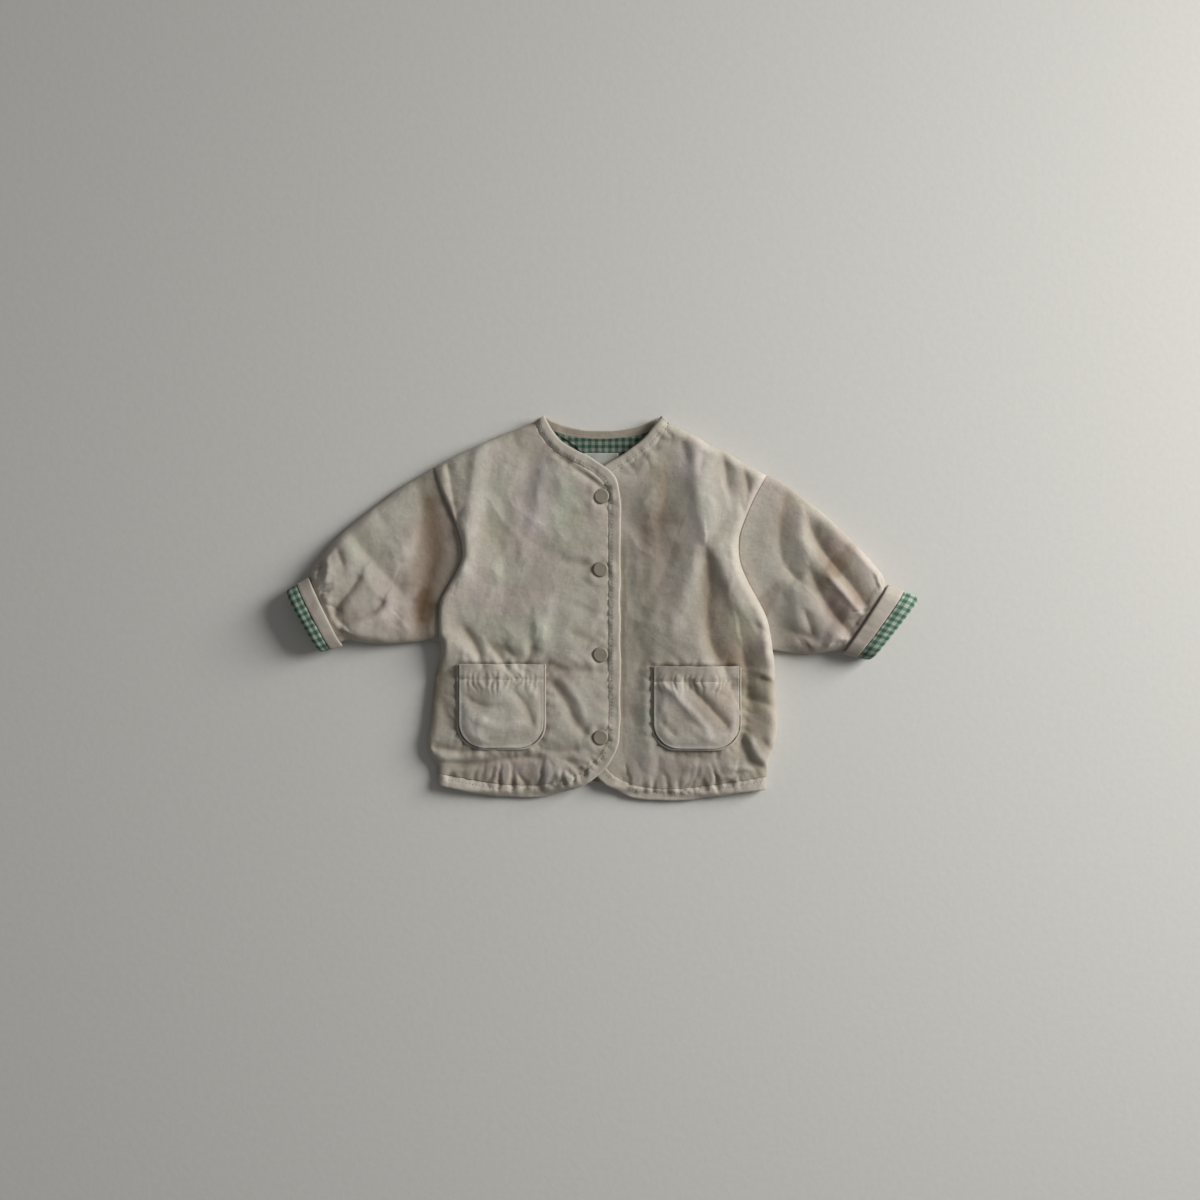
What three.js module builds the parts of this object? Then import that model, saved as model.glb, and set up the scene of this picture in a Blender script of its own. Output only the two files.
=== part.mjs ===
// Child's reversible jacket, buttoned and laid flat with its back on the surface.
// Millimetres. +Z is up from the surface, +Y points to the neck, +X to the wearer's left sleeve.
// The wearer's right front lies on top of the left one.
import * as THREE from "three";

// Driving dimensions
const CLOTH = 4.2; // shell, thin wadding and lining together
const SEAM = 0.3; // gap where two pieces meet
const BINDING = 12; // width of the binding at neck, front edges and hem
const BACK_NECK_BINDING = 8.5; // the part of it that shows at the back of the neck
const BINDING_SWELL = 0.7; // how far the binding stands above the panel
const BINDING_ROUND = 2; // width over which the binding rounds off at each side
const BINDING_EDGE = 2; // thickness of the binding at its very edge
const BACK_EDGE_SHARE = 0.6; // the same for the back's binding, as a share of the panel's thickness
const SIDE_SEAM_Z = 4.6; // height of the side and shoulder seams
const SEAM_LIP = 1.2; // thickness of each panel at those seams
const ROLL = 9; // width over which a panel rolls down to a seam
const ROLL_STEPS = [0, 1.5, 4, ROLL]; // rows laid close together over the roll
const EASE = 0.5; // least space between back and front
const SLACK = 1.6; // usual extra space between back and front
const LEAST_SLACK = 0.1;
const MOST_SLACK = 3.3;
const PLACKET_CLEARANCE = 1.2; // top front over under front
const UNDER_FRONT = { flat: 18, free: 60, top: 85, neck: 118 }; // where the under front is pressed flat
const TOP_FRONT = { start: -68, full: -23, neckFull: 141, neckEnd: 166, hemEnd: -182, hemFull: -161 }; // its rise
const CUFF_WIDTH = 26; // turned-up cuff, fold to free edge
const CUFF_BAND = 13; // faced edge of the turned-up cuff
const CUFF_FLOOR = 4.7; // height of the sleeve's underside inside the cuff
const SLEEVE_EDGE = 5; // height of a sleeve's folded edge above its underside
const SLEEVE_DOME = { ends: 0.62, power: 0.8 }; // how the crown falls off toward the folded edges
const SLEEVE_FOLDS_END = { from: 0.86, to: 0.98 }; // the folds run out before the cuff
const EDGE_SPREAD = 20; // width over which the inner wall is drawn in from a sleeve's folded edge
const ARMHOLE_CLEARANCE = 0.4; // sideways gap that keeps SEAM across the slanting armhole
const POCKET_CLOTH = 1.8;
const POCKET_RADIUS = 24;
const POCKET_BAND = 14; // gathered band at the pocket's mouth
const POCKET_PUFF = 1.4; // how far the pouch stands off the front
const POCKET_BAND_SWELL = 0.5;
const POCKET_REACH = 4; // how far round a point the pocket clears the front
const PIPING_RADIUS = 1.2;
const SNAP_DIAMETER = 14.5;
const SNAP_HEIGHT = 1.6;
const SNAP_SHANK = { radius: 3, height: 0.6 };
const SNAP_REACH = 5;
const LINING_PATCH = 0.8; // lining cloth where it shows inside the back neck
const NECK_LINING = { lowest: 124, taper: 0.55, rise: 0.62 }; // its lower edge is a shallow V
const LABEL = { width: 33, height: 17, thickness: 0.5, x: -1, y: 140 };

// Grid counts
const FRONT_COLUMNS = 11;
const SIDE_ROWS = 10;
const ARMHOLE_ROWS = 11;
const BACK_SIDE_ROWS = 5;
const BACK_ARMHOLE_ROWS = 5;
const SHOULDER_COLUMNS = 3;
const NECK_COLUMNS = 8;

// Plan outlines, each a list of [x, y] through which a smooth curve runs.
// A front's edge runs from the side seam along the hem, round the corner and up to the neck.
const RIGHT = {
  name: "right",
  outward: -1,
  hem: [[-156, -169], [-118, -176], [-88, -179.6], [-58, -179.5], [-31, -173], [-11, -164], [4, -150]],
  opening: [
    [4, -150], [14, -134], [17.3, -118], [17.6, -60], [17.6, 0], [17.6, 60], [17.6, 96],
    [17, 111], [13, 124], [3, 134.5], [-12, 144.5], [-33, 155], [-47, 169], [-54, 184],
  ],
  side: [
    [-156.6, -157], [-158, -148], [-164, -136], [-166, -128], [-163.4, -105.5],
    [-161.5, -86.5], [-158.7, -62.7], [-154, -44], [-153.9, -32.3],
  ],
  armhole: [
    [-153.9, -32.3], [-154.9, -15], [-153.5, 6], [-147, 20], [-137, 37], [-132.3, 50],
    [-134, 66], [-138.7, 80], [-145.4, 96], [-153.5, 115], [-159.6, 134.9],
  ],
  shoulder: [[-159.6, 134.9], [-144.4, 143.5], [-129.2, 151], [-96.9, 165.3], [-84.6, 170], [-64.6, 177.7]],
  sleeveTop: [
    [-159.6, 134.9], [-172.9, 127.3], [-191.9, 115.9], [-210.9, 101.7], [-229.9, 87.4],
    [-248.9, 71.3], [-266, 51.3], [-275.5, 37.1], [-276.5, 26.5],
  ],
  sleeveUnder: [
    [-153.9, -32.3], [-163.4, -30.4], [-182.4, -32.3], [-201.4, -33.7], [-215.7, -33.3],
    [-229.9, -31.4], [-241, -29.5], [-248.4, -31.3],
  ],
  cuff: { bandTop: [-278.4, 30.4], bandUnder: [-246.5, -35.2], foldTop: [-301.6, 17.2], foldUnder: [-269.3, -42.2] },
  pocket: { left: -137.8, right: -53.2, top: -52.3, bottom: -133.5 },
};
const LEFT = {
  name: "left",
  outward: 1,
  hem: [[155.8, -172], [121.6, -177.7], [93, -181.5], [64, -183.5], [36, -181.5], [21.9, -177.7], [3.8, -168.2]],
  opening: [
    [3.8, -168.2], [-4.8, -159.6], [-12, -148], [-18.5, -130], [-20.4, -110], [-20.4, -60], [-20.4, 0],
    [-20.4, 60], [-20.4, 98], [-18.5, 112], [-12, 124], [2.9, 136.8], [23.8, 150.1], [40.9, 163.4], [56, 183.4],
  ],
  side: [
    [156.4, -160], [158, -148], [161.5, -136.8], [165.3, -124.5], [167.2, -105.5],
    [165.3, -86.5], [164.4, -53.2], [162.5, -39],
  ],
  armhole: [
    [162.5, -39], [160.6, -25], [157, -9], [148.5, 8.6], [139, 26], [132, 43],
    [130, 58], [131, 71], [136, 86], [145.4, 107.4], [156.8, 127.3],
  ],
  shoulder: [[156.8, 127.3], [140.6, 135.9], [116.9, 150.1], [102.6, 155.9], [93.1, 162.5], [74.1, 172], [62.7, 176.7]],
  sleeveTop: [
    [156.8, 127.3], [169.1, 122.6], [188.1, 108.3], [207.1, 94.1], [226.1, 77],
    [245.1, 58], [262.2, 39], [267.9, 29.5], [269.3, 19.7],
  ],
  sleeveUnder: [[162.5, -39], [178.6, -41.8], [197.6, -42.8], [216.6, -40.9], [225, -39.5], [230.9, -38.7]],
  cuff: { bandTop: [271.7, 23.3], bandUnder: [228.5, -42.3], foldTop: [301.4, 11.3], foldUnder: [255.6, -49.6] },
  pocket: { left: 46.6, right: 132, top: -54.2, bottom: -134 },
};
const BACK_NECK = [
  [-54, 184], [-46.6, 178.6], [-30.4, 172.9], [-1.9, 170.1], [31.4, 172.9], [45, 178.5], [56, 183.4],
];
const BACK_HEM = [[-156, -169], [-100, -171.5], [-2, -166.5], [100, -173.5], [155.8, -172]];
const SNAPS = [
  { name: "snap_1", x: -0.5, y: 106.9 },
  { name: "snap_2", x: -1.4, y: 37.5 },
  { name: "snap_3", x: -1.4, y: -43.2 },
  { name: "snap_4", x: -1.4, y: -121.6 },
];

// Folds of each front: the crest or trough line, its half width, and its rise (a trough's is negative).
RIGHT.folds = [
  { path: [[-112, 162], [-116, 110], [-118, 46]], width: 10, rise: 1.7 },
  { path: [[-130, 148], [-140, 104]], width: 6, rise: -1.2 },
  { path: [[-60, 120], [-66, 60]], width: 14, rise: 0.7 },
  { path: [[-126, -18], [-99, -47]], width: 7, rise: -1.4 },
  { path: [[-62, 2], [-65, -22], [-69, -48]], width: 7, rise: -1.4 },
  { path: [[-52, -60], [-30, -86], [-20, -106], [-6, -116]], width: 7, rise: -1.5 },
  { path: [[-160, -141], [-116, -141]], width: 6, rise: 1.4 },
  { path: [[-160, -131], [-122, -133]], width: 5, rise: -1.3 },
  { path: [[-152, -150], [-118, -149]], width: 5, rise: -1.3 },
  { path: [[-98, -144], [-60, -142]], width: 6, rise: -1.2 },
  { path: [[-56, -136], [-28, -135]], width: 6, rise: -1.2 },
];
LEFT.folds = [
  { path: [[112, 156], [114, 104], [126, 61], [140, 20]], width: 11, rise: 1.7 },
  { path: [[84, 122], [64, 66], [46, 10]], width: 24, rise: -1.1 },
  { path: [[84, 46], [60, -30]], width: 10, rise: 1.2 },
  { path: [[100, 46], [102, -28], [126, -48]], width: 8, rise: -1.4 },
  { path: [[120, 146], [128, 104]], width: 5, rise: -1.1 },
  { path: [[131, -120], [142, -139], [157, -154]], width: 7, rise: -1.4 },
  { path: [[134, -84], [164, -91]], width: 6, rise: -1.1 },
  { path: [[122, -160], [150, -161]], width: 6, rise: 1.1 },
];
RIGHT.sleeveFolds = [
  { path: [[-184, 121], [-174, 104], [-171, 66]], width: 9, rise: 2.6 },
  { path: [[-160, 104], [-156, 60], [-163, 0]], width: 9, rise: -1.6 },
  { path: [[-236, 74], [-218, 56], [-190, 26]], width: 10, rise: 3 },
  { path: [[-223, 38], [-230, 22], [-244, 4], [-250, -9]], width: 8, rise: -3.2 },
  { path: [[-209, 11], [-214, 0], [-230, -6], [-243, -12]], width: 6, rise: -2.6 },
  { path: [[-262, 40], [-252, 24]], width: 6, rise: 2.4 },
];
LEFT.sleeveFolds = [
  { path: [[178, 111], [176, 85], [179, 56], [184, 34]], width: 10, rise: -3 },
  { path: [[206, 76], [212, 56], [231, 37], [250, 8]], width: 11, rise: -3.4 },
  { path: [[217, 42], [236, 18], [248, 2]], width: 9, rise: 2.8 },
  { path: [[207, 18], [226, -6], [238, -18]], width: 7, rise: -2.4 },
  { path: [[188, 33], [214, 0], [232, -20]], width: 7, rise: 1.8 },
  { path: [[200, -34], [214, -30], [228, -26]], width: 6, rise: 2 },
];

// Crown of a sleeve: the height of its upper side along the way from armhole (0) to cuff (1).
const SLEEVE_PROFILE = [
  { along: 0, crown: 10.4, floor: 0 },
  { along: 0.15, crown: 13.2, floor: 0 },
  { along: 0.35, crown: 16.5, floor: 0 },
  { along: 0.6, crown: 20, floor: 0 },
  { along: 0.82, crown: 22.6, floor: 0 },
  { along: 0.94, crown: 21.4, floor: 2.6 },
  { along: 1, crown: 19.4, floor: CUFF_FLOOR },
  { along: 3, crown: 19.4, floor: CUFF_FLOOR },
];
const SLEEVE_STATIONS = [0, 0.05, 0.12, 0.2, 0.29, 0.38, 0.47, 0.56, 0.65, 0.74, 0.82, 0.89, 0.95, 1, 2];
const LEAST_SLEEVE = 2 * CLOTH + 1; // the sleeve's two walls never touch

// Small helpers
const mix = (a, b, t) => a + (b - a) * t;
const mixPoint = (a, b, t) => [mix(a[0], b[0], t), mix(a[1], b[1], t)];
const clamp = (value, low, high) => Math.min(high, Math.max(low, value));
const distance = (a, b) => Math.hypot(a[0] - b[0], a[1] - b[1]);
const smooth = (value, from, to) => {
  const t = clamp((value - from) / (to - from), 0, 1);
  return t * t * (3 - 2 * t);
};
const rollOver = (inside) => Math.sqrt(1 - (1 - clamp(inside / ROLL, 0, 1)) ** 2);

function sampleCurve(points, fractions) {
  const curve = new THREE.SplineCurve(points.map(([x, y]) => new THREE.Vector2(x, y)));
  curve.arcLengthDivisions = 400;
  return fractions.map((t) => curve.getPointAt(t).toArray());
}

function curveLength(points) {
  return new THREE.SplineCurve(points.map(([x, y]) => new THREE.Vector2(x, y))).getLength();
}

// Fractions of a length: close together at the rolled ends, even between them.
function stops(length, count, rolledStart, rolledEnd) {
  const first = rolledStart ? ROLL_STEPS : [0];
  const last = rolledEnd ? ROLL_STEPS.map((step) => length - step).reverse() : [length];
  const from = first[first.length - 1];
  const even = [];
  for (let i = 1; i < count; i += 1) even.push(mix(from, last[0], i / count));
  return [...first, ...even, ...last].map((at) => at / length);
}

// Point at a fraction of a polyline's length.
function alongPolyline(nodes, fraction) {
  const reach = [0];
  for (let i = 1; i < nodes.length; i += 1) reach.push(reach[i - 1] + distance(nodes[i], nodes[i - 1]));
  const at = clamp(fraction, 0, 1) * reach[reach.length - 1];
  let i = 1;
  while (i < nodes.length - 1 && reach[i] < at) i += 1;
  return mixPoint(nodes[i - 1], nodes[i], (at - reach[i - 1]) / (reach[i] - reach[i - 1]));
}

// Unit normals of a polyline, to its left, turned to the given targets at its two ends.
function normalsOf(nodes, startTarget, endTarget) {
  const normals = nodes.map((node, i) => {
    const before = nodes[Math.max(0, i - 1)];
    const after = nodes[Math.min(nodes.length - 1, i + 1)];
    const length = distance(before, after);
    return [-(after[1] - before[1]) / length, (after[0] - before[0]) / length];
  });
  const toward = (from, to) => [(to[0] - from[0]) / distance(from, to), (to[1] - from[1]) / distance(from, to)];
  if (startTarget) normals[0] = toward(nodes[0], startTarget);
  if (endTarget) normals[nodes.length - 1] = toward(nodes[nodes.length - 1], endTarget);
  return normals;
}

const offsetNodes = (nodes, normals, by) =>
  nodes.map(([x, y], i) => [x + normals[i][0] * by, y + normals[i][1] * by]);

// Height of the folds at a plan point. Each fold fades out to its sides and at its two ends.
function foldHeight(folds, x, y) {
  let height = 0;
  for (const { path, width, rise } of folds) {
    let nearest = Infinity;
    let at = 0;
    let total = 0;
    for (let i = 1; i < path.length; i += 1) {
      const [ax, ay] = path[i - 1];
      const [bx, by] = path[i];
      const span = Math.hypot(bx - ax, by - ay);
      const t = clamp(((x - ax) * (bx - ax) + (y - ay) * (by - ay)) / (span * span), 0, 1);
      const away = Math.hypot(x - mix(ax, bx, t), y - mix(ay, by, t));
      if (away < nearest) {
        nearest = away;
        at = total + t * span;
      }
      total += span;
    }
    const ends = smooth(at, -width, width) * smooth(total - at, -width, width);
    height += rise * ends * Math.exp(-((nearest / width) ** 2));
  }
  return height;
}

// Seams and outlines shared by the pieces of one side of the jacket
function layOut(side) {
  const armFractions = stops(curveLength(side.armhole), ARMHOLE_ROWS, true, true);
  const armUnderFractions = stops(curveLength(side.armhole), BACK_ARMHOLE_ROWS, true, true);
  side.armholeNodes = sampleCurve(side.armhole, armFractions);
  side.armholeUnderNodes = sampleCurve(side.armhole, armUnderFractions);
  side.sideNodes = sampleCurve(side.side, stops(curveLength(side.side), SIDE_ROWS, false, false));
  side.sideUnderNodes = sampleCurve(side.side, stops(curveLength(side.side), BACK_SIDE_ROWS, false, false));
  side.leftRows = [...side.sideNodes.slice(0, -1), ...side.armholeNodes];
  const columnFractions = stops(curveLength(side.hem), FRONT_COLUMNS, true, false);
  const rowFractions = fractionsOf(side.leftRows);
  const hemNodes = sampleCurve(side.hem, columnFractions);
  const openingNodes = sampleCurve(side.opening, rowFractions);
  side.corner = hemNodes.length - 1;
  side.edgeNodes = [...hemNodes, ...openingNodes.slice(1)];
  const shoulderEnd = side.shoulder[side.shoulder.length - 1];
  side.edgeNormals = normalsOf(side.edgeNodes, side.side[0], shoulderEnd);
  if (side.outward > 0) {
    const last = side.edgeNormals.length - 1;
    side.edgeNormals = side.edgeNormals.map(([x, y], i) => (i === 0 || i === last ? [x, y] : [-x, -y]));
  }
  side.columnFractions = columnFractions;
  side.rowFractions = rowFractions;
}

function fractionsOf(nodes) {
  const reach = [0];
  for (let i = 1; i < nodes.length; i += 1) reach.push(reach[i - 1] + distance(nodes[i], nodes[i - 1]));
  return reach.map((at) => at / reach[reach.length - 1]);
}

// Plan grid between four boundaries that share their corner points
function fillPatch(bottom, top, left, right, us, vs) {
  const [b0, b1] = [bottom[0], bottom[bottom.length - 1]];
  const [t0, t1] = [top[0], top[top.length - 1]];
  return vs.map((v, j) =>
    us.map((u, i) =>
      [0, 1].map((axis) => {
        const ruledV = mix(bottom[i][axis], top[i][axis], v);
        const ruledU = mix(left[j][axis], right[j][axis], u);
        const corners = mix(mix(b0[axis], b1[axis], u), mix(t0[axis], t1[axis], u), v);
        return ruledV + ruledU - corners;
      }),
    ),
  );
}

// How far a plan point lies inside the side seam and the shoulder seam, read across the nearest seam piece
function distanceToPolyline(nodes, x, y) {
  let nearest = Infinity;
  for (let i = 1; i < nodes.length; i += 1) {
    const [ax, ay] = nodes[i - 1];
    const [bx, by] = nodes[i];
    const span = Math.hypot(bx - ax, by - ay);
    const t = clamp(((x - ax) * (bx - ax) + (y - ay) * (by - ay)) / (span * span), 0, 1);
    nearest = Math.min(nearest, Math.hypot(x - mix(ax, bx, t), y - mix(ay, by, t)));
  }
  return nearest;
}

function insideSeam(side, x, y) {
  const hemCorner = side.hem[0];
  const seamSide = distanceToPolyline([hemCorner, ...side.sideNodes], x, y);
  const seamShoulder = distanceToPolyline(side.shoulder, x, y);
  return Math.min(seamSide, seamShoulder);
}

// Heights of the panels at a plan point
function frontSlack(side, x, y) {
  const slack = clamp(SLACK + foldHeight(side.folds, x, y), LEAST_SLACK, MOST_SLACK);
  if (side === RIGHT) return slack;
  const beside = 1 - smooth(x, UNDER_FRONT.flat, UNDER_FRONT.free);
  const below = 1 - smooth(y, UNDER_FRONT.top, UNDER_FRONT.neck);
  return mix(slack, LEAST_SLACK, beside * below);
}

const frontRest = (side, x, y) => CLOTH + EASE + frontSlack(side, x, y);

// Where the top front has the under front beneath it
function overlapShare(x, y) {
  const across = smooth(x, TOP_FRONT.start, TOP_FRONT.full);
  const belowNeck = 1 - smooth(y, TOP_FRONT.neckFull, TOP_FRONT.neckEnd);
  const aboveHem = smooth(y, TOP_FRONT.hemEnd, TOP_FRONT.hemFull);
  return across * belowNeck * aboveHem;
}

function frontLies(side, x, y) {
  const rest = frontRest(side, x, y);
  if (side === LEFT) return rest;
  return mix(rest, frontRest(LEFT, x, y) + CLOTH + PLACKET_CLEARANCE, overlapShare(x, y));
}

function frontInner(side, x, y) {
  return mix(SIDE_SEAM_Z + SEAM / 2, frontLies(side, x, y), rollOver(insideSeam(side, x, y) - CLOTH));
}

function frontOuter(side, x, y) {
  return mix(SIDE_SEAM_Z + SEAM_LIP, frontLies(side, x, y) + CLOTH, rollOver(insideSeam(side, x, y)));
}

function backInner(x, y) {
  const side = x < 0 ? RIGHT : LEFT;
  return mix(SIDE_SEAM_Z - SEAM / 2, CLOTH, rollOver(insideSeam(side, x, y) - CLOTH));
}

function backOuter(x, y) {
  const side = x < 0 ? RIGHT : LEFT;
  return mix(SIDE_SEAM_Z - SEAM_LIP, 0, rollOver(insideSeam(side, x, y)));
}

// The highest point of a surface within reach of a plan point, so that what lies on it stays clear
function crest(surface, x, y, reach) {
  let highest = -Infinity;
  for (const dx of [-reach, 0, reach]) {
    for (const dy of [-reach, 0, reach]) highest = Math.max(highest, surface(x + dx, y + dy));
  }
  return highest;
}

// Closed bodies
function bodyFrom(points, triangles) {
  const volume = triangles.reduce((sum, [a, b, c]) => {
    const [p, q, r] = [points[a], points[b], points[c]];
    const cross = [q[1] * r[2] - q[2] * r[1], q[2] * r[0] - q[0] * r[2], q[0] * r[1] - q[1] * r[0]];
    return sum + p[0] * cross[0] + p[1] * cross[1] + p[2] * cross[2];
  }, 0);
  const faces = volume > 0 ? triangles : triangles.map(([a, b, c]) => [a, c, b]);
  const geometry = new THREE.BufferGeometry();
  geometry.setAttribute("position", new THREE.Float32BufferAttribute(points.flat(), 3));
  geometry.setIndex(faces.flat());
  geometry.computeVertexNormals();
  return geometry;
}

const quad = (a, b, c, d) => [[a, b, c], [a, c, d]];

// A panel: an upper and a lower sheet over the same plan grid, joined round the rim
function panel(grid, upper, lower) {
  const rows = grid.length;
  const columns = grid[0].length;
  const points = [];
  for (const height of [upper, lower]) {
    grid.forEach((row) => row.forEach(([x, y]) => points.push([x, y, height(x, y)])));
  }
  const at = (layer, row, column) => layer * rows * columns + row * columns + column;
  const triangles = [];
  for (let j = 0; j + 1 < rows; j += 1) {
    for (let i = 0; i + 1 < columns; i += 1) {
      triangles.push(...quad(at(0, j, i), at(0, j, i + 1), at(0, j + 1, i + 1), at(0, j + 1, i)));
      triangles.push(...quad(at(1, j, i), at(1, j + 1, i), at(1, j + 1, i + 1), at(1, j, i + 1)));
    }
  }
  const rim = [];
  for (let i = 0; i + 1 < columns; i += 1) rim.push([0, i]);
  for (let j = 0; j + 1 < rows; j += 1) rim.push([j, columns - 1]);
  for (let i = columns - 1; i > 0; i -= 1) rim.push([rows - 1, i]);
  for (let j = rows - 1; j > 0; j -= 1) rim.push([j, 0]);
  rim.forEach(([j, i], k) => {
    const [nextJ, nextI] = rim[(k + 1) % rim.length];
    triangles.push(...quad(at(0, j, i), at(1, j, i), at(1, nextJ, nextI), at(0, nextJ, nextI)));
  });
  return bodyFrom(points, triangles);
}

// A strip: one closed section at each station, with both ends capped
function strip(sections) {
  const size = sections[0].length;
  const points = sections.flat();
  const triangles = [];
  for (let k = 0; k + 1 < sections.length; k += 1) {
    for (let i = 0; i < size; i += 1) {
      const next = (i + 1) % size;
      triangles.push(...quad(k * size + i, k * size + next, (k + 1) * size + next, (k + 1) * size + i));
    }
  }
  const last = (sections.length - 1) * size;
  for (let i = 1; i + 1 < size; i += 1) {
    triangles.push([0, i + 1, i]);
    triangles.push([last, last + i, last + i + 1]);
  }
  return bodyFrom(points, triangles);
}

// A closed loop of closed sections, such as the wall of a tube
function loopBody(sections) {
  const count = sections.length;
  const size = sections[0].length;
  const points = sections.flat();
  const triangles = [];
  for (let k = 0; k < count; k += 1) {
    const nextK = (k + 1) % count;
    for (let i = 0; i < size; i += 1) {
      const next = (i + 1) % size;
      triangles.push(...quad(k * size + i, k * size + next, nextK * size + next, nextK * size + i));
    }
  }
  return bodyFrom(points, triangles);
}

const cloth = (color) => new THREE.MeshStandardMaterial({ color, roughness: 0.95, metalness: 0 });
const SHELL = 0xbcb6aa;
const BOUND = 0xb4ada0;
const CHECKED = 0x8fae97;
const SNAP = 0x837a6c;
const TAPE = 0xd9d8d2;

const jacket = new THREE.Group();

function add(name, geometry, color) {
  const mesh = new THREE.Mesh(geometry, cloth(color));
  mesh.name = name;
  jacket.add(mesh);
  return mesh;
}

// Front panels
function addFront(side) {
  const inner = offsetNodes(side.edgeNodes, side.edgeNormals, BINDING + SEAM);
  const bottom = inner.slice(0, side.corner + 1);
  const right = inner.slice(side.corner);
  const left = [bottom[0], ...side.leftRows.slice(1)];
  const top = side.columnFractions.map((t) => alongPolyline(side.shoulder, t));
  top[top.length - 1] = right[right.length - 1];
  const grid = fillPatch(bottom, top, left, right, side.columnFractions, side.rowFractions);
  add(`front_${side.name}`, panel(grid, (x, y) => frontOuter(side, x, y), (x, y) => frontInner(side, x, y)), SHELL);
}

// Binding along a panel's edge, its section set across the edge
function bindingSections(nodes, normals, width, upper, lower) {
  return nodes.map((node, i) => {
    const place = (inward, height) => {
      const x = node[0] + normals[i][0] * inward;
      const y = node[1] + normals[i][1] * inward;
      return [x, y, height(x, y)];
    };
    const middle = (x, y) => (upper(x, y) + lower(x, y)) / 2;
    const swell = (x, y) => upper(x, y) + BINDING_SWELL;
    return [
      place(0, (x, y) => middle(x, y) - BINDING_EDGE / 2),
      place(0, (x, y) => middle(x, y) + BINDING_EDGE / 2),
      place(BINDING_ROUND, swell),
      place(width - BINDING_ROUND, swell),
      place(width, upper),
      place(width, lower),
      place(BINDING_ROUND, lower),
    ];
  });
}

function addFrontBinding(side) {
  const upper = (x, y) => frontOuter(side, x, y);
  const lower = (x, y) => frontInner(side, x, y);
  const sections = bindingSections(side.edgeNodes, side.edgeNormals, BINDING, upper, lower);
  add(`binding_front_${side.name}`, strip(sections), BOUND);
}

// Back panel with its bindings
function addBack() {
  const neckFractions = stops(1, NECK_COLUMNS, false, false);
  const neckNodes = sampleCurve(BACK_NECK, neckFractions);
  const rightShoulder = RIGHT.shoulder[RIGHT.shoulder.length - 1];
  const leftShoulder = LEFT.shoulder[LEFT.shoulder.length - 1];
  const down = (normals) => normals.map(([x, y]) => (y > 0 ? [-x, -y] : [x, y]));
  const neckNormals = down(normalsOf(neckNodes, rightShoulder, leftShoulder));
  const neckInner = offsetNodes(neckNodes, neckNormals, BACK_NECK_BINDING + SEAM);
  const shoulderFractions = (side) => stops(curveLength(side.shoulder), SHOULDER_COLUMNS, true, false);
  const rightTop = shoulderFractions(RIGHT).map((t) => alongPolyline(RIGHT.shoulder, t));
  const leftTop = shoulderFractions(LEFT).map((t) => alongPolyline(LEFT.shoulder, t)).reverse();
  rightTop[rightTop.length - 1] = neckInner[0];
  leftTop[0] = neckInner[neckInner.length - 1];
  const top = [...rightTop, ...neckInner.slice(1, -1), ...leftTop];
  const columns = fractionsOf(top);
  const hemNodes = sampleCurve(BACK_HEM, columns);
  const hemNormals = normalsOf(hemNodes, RIGHT.side[0], LEFT.side[0]);
  const bottom = offsetNodes(hemNodes, hemNormals, BINDING + SEAM);
  const left = [bottom[0], ...RIGHT.sideUnderNodes.slice(1, -1), ...RIGHT.armholeUnderNodes];
  const right = [bottom[bottom.length - 1], ...LEFT.sideUnderNodes.slice(1, -1), ...LEFT.armholeUnderNodes];
  const grid = fillPatch(bottom, top, left, right, columns, fractionsOf(left));
  add("back", panel(grid, backInner, backOuter), SHELL);
  add("binding_back_hem", strip(backBinding(hemNodes, hemNormals, BINDING)), BOUND);
  add("binding_back_neck", strip(backBinding(neckNodes, neckNormals, BACK_NECK_BINDING)), BOUND);
  return neckInner;
}

// The back's binding swells upward only, because its underside lies on the surface
function backBinding(nodes, normals, width) {
  return nodes.map((node, i) => {
    const place = (inward, height) => {
      const x = node[0] + normals[i][0] * inward;
      const y = node[1] + normals[i][1] * inward;
      return [x, y, height(x, y)];
    };
    return [
      place(0, (x, y) => backOuter(x, y)),
      place(0, (x, y) => mix(backOuter(x, y), backInner(x, y), BACK_EDGE_SHARE)),
      place(BINDING_ROUND, backInner),
      place(width, backInner),
      place(width, backOuter),
    ];
  });
}

// Checked lining where it shows inside the back neck, and the blank label on it
function addNeckLining(neckInner) {
  const top = neckInner.slice(1, -1);
  const { lowest, taper, rise } = NECK_LINING;
  const bottom = top.map(([x]) => [mix(x, 0, taper), lowest + Math.abs(x) * rise]);
  const rows = [0, 0.25, 0.5, 0.75, 1];
  const grid = rows.map((v) => top.map((point, i) => mixPoint(bottom[i], point, v)));
  const floor = CLOTH + SEAM;
  add("neck_lining", panel(grid, () => floor + LINING_PATCH, () => floor), CHECKED);
  const label = new THREE.BoxGeometry(LABEL.width, LABEL.height, LABEL.thickness);
  const mesh = add("label", label, TAPE);
  mesh.position.set(LABEL.x, LABEL.y, floor + LINING_PATCH + SEAM + LABEL.thickness / 2);
}

// Sleeves
function profileAt(along) {
  const next = Math.max(1, SLEEVE_PROFILE.findIndex((row) => row.along >= along));
  const [a, b] = [SLEEVE_PROFILE[next - 1], SLEEVE_PROFILE[next]];
  const t = smooth(along, a.along, b.along);
  return { crown: mix(a.crown, b.crown, t), floor: mix(a.floor, b.floor, t) };
}

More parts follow.
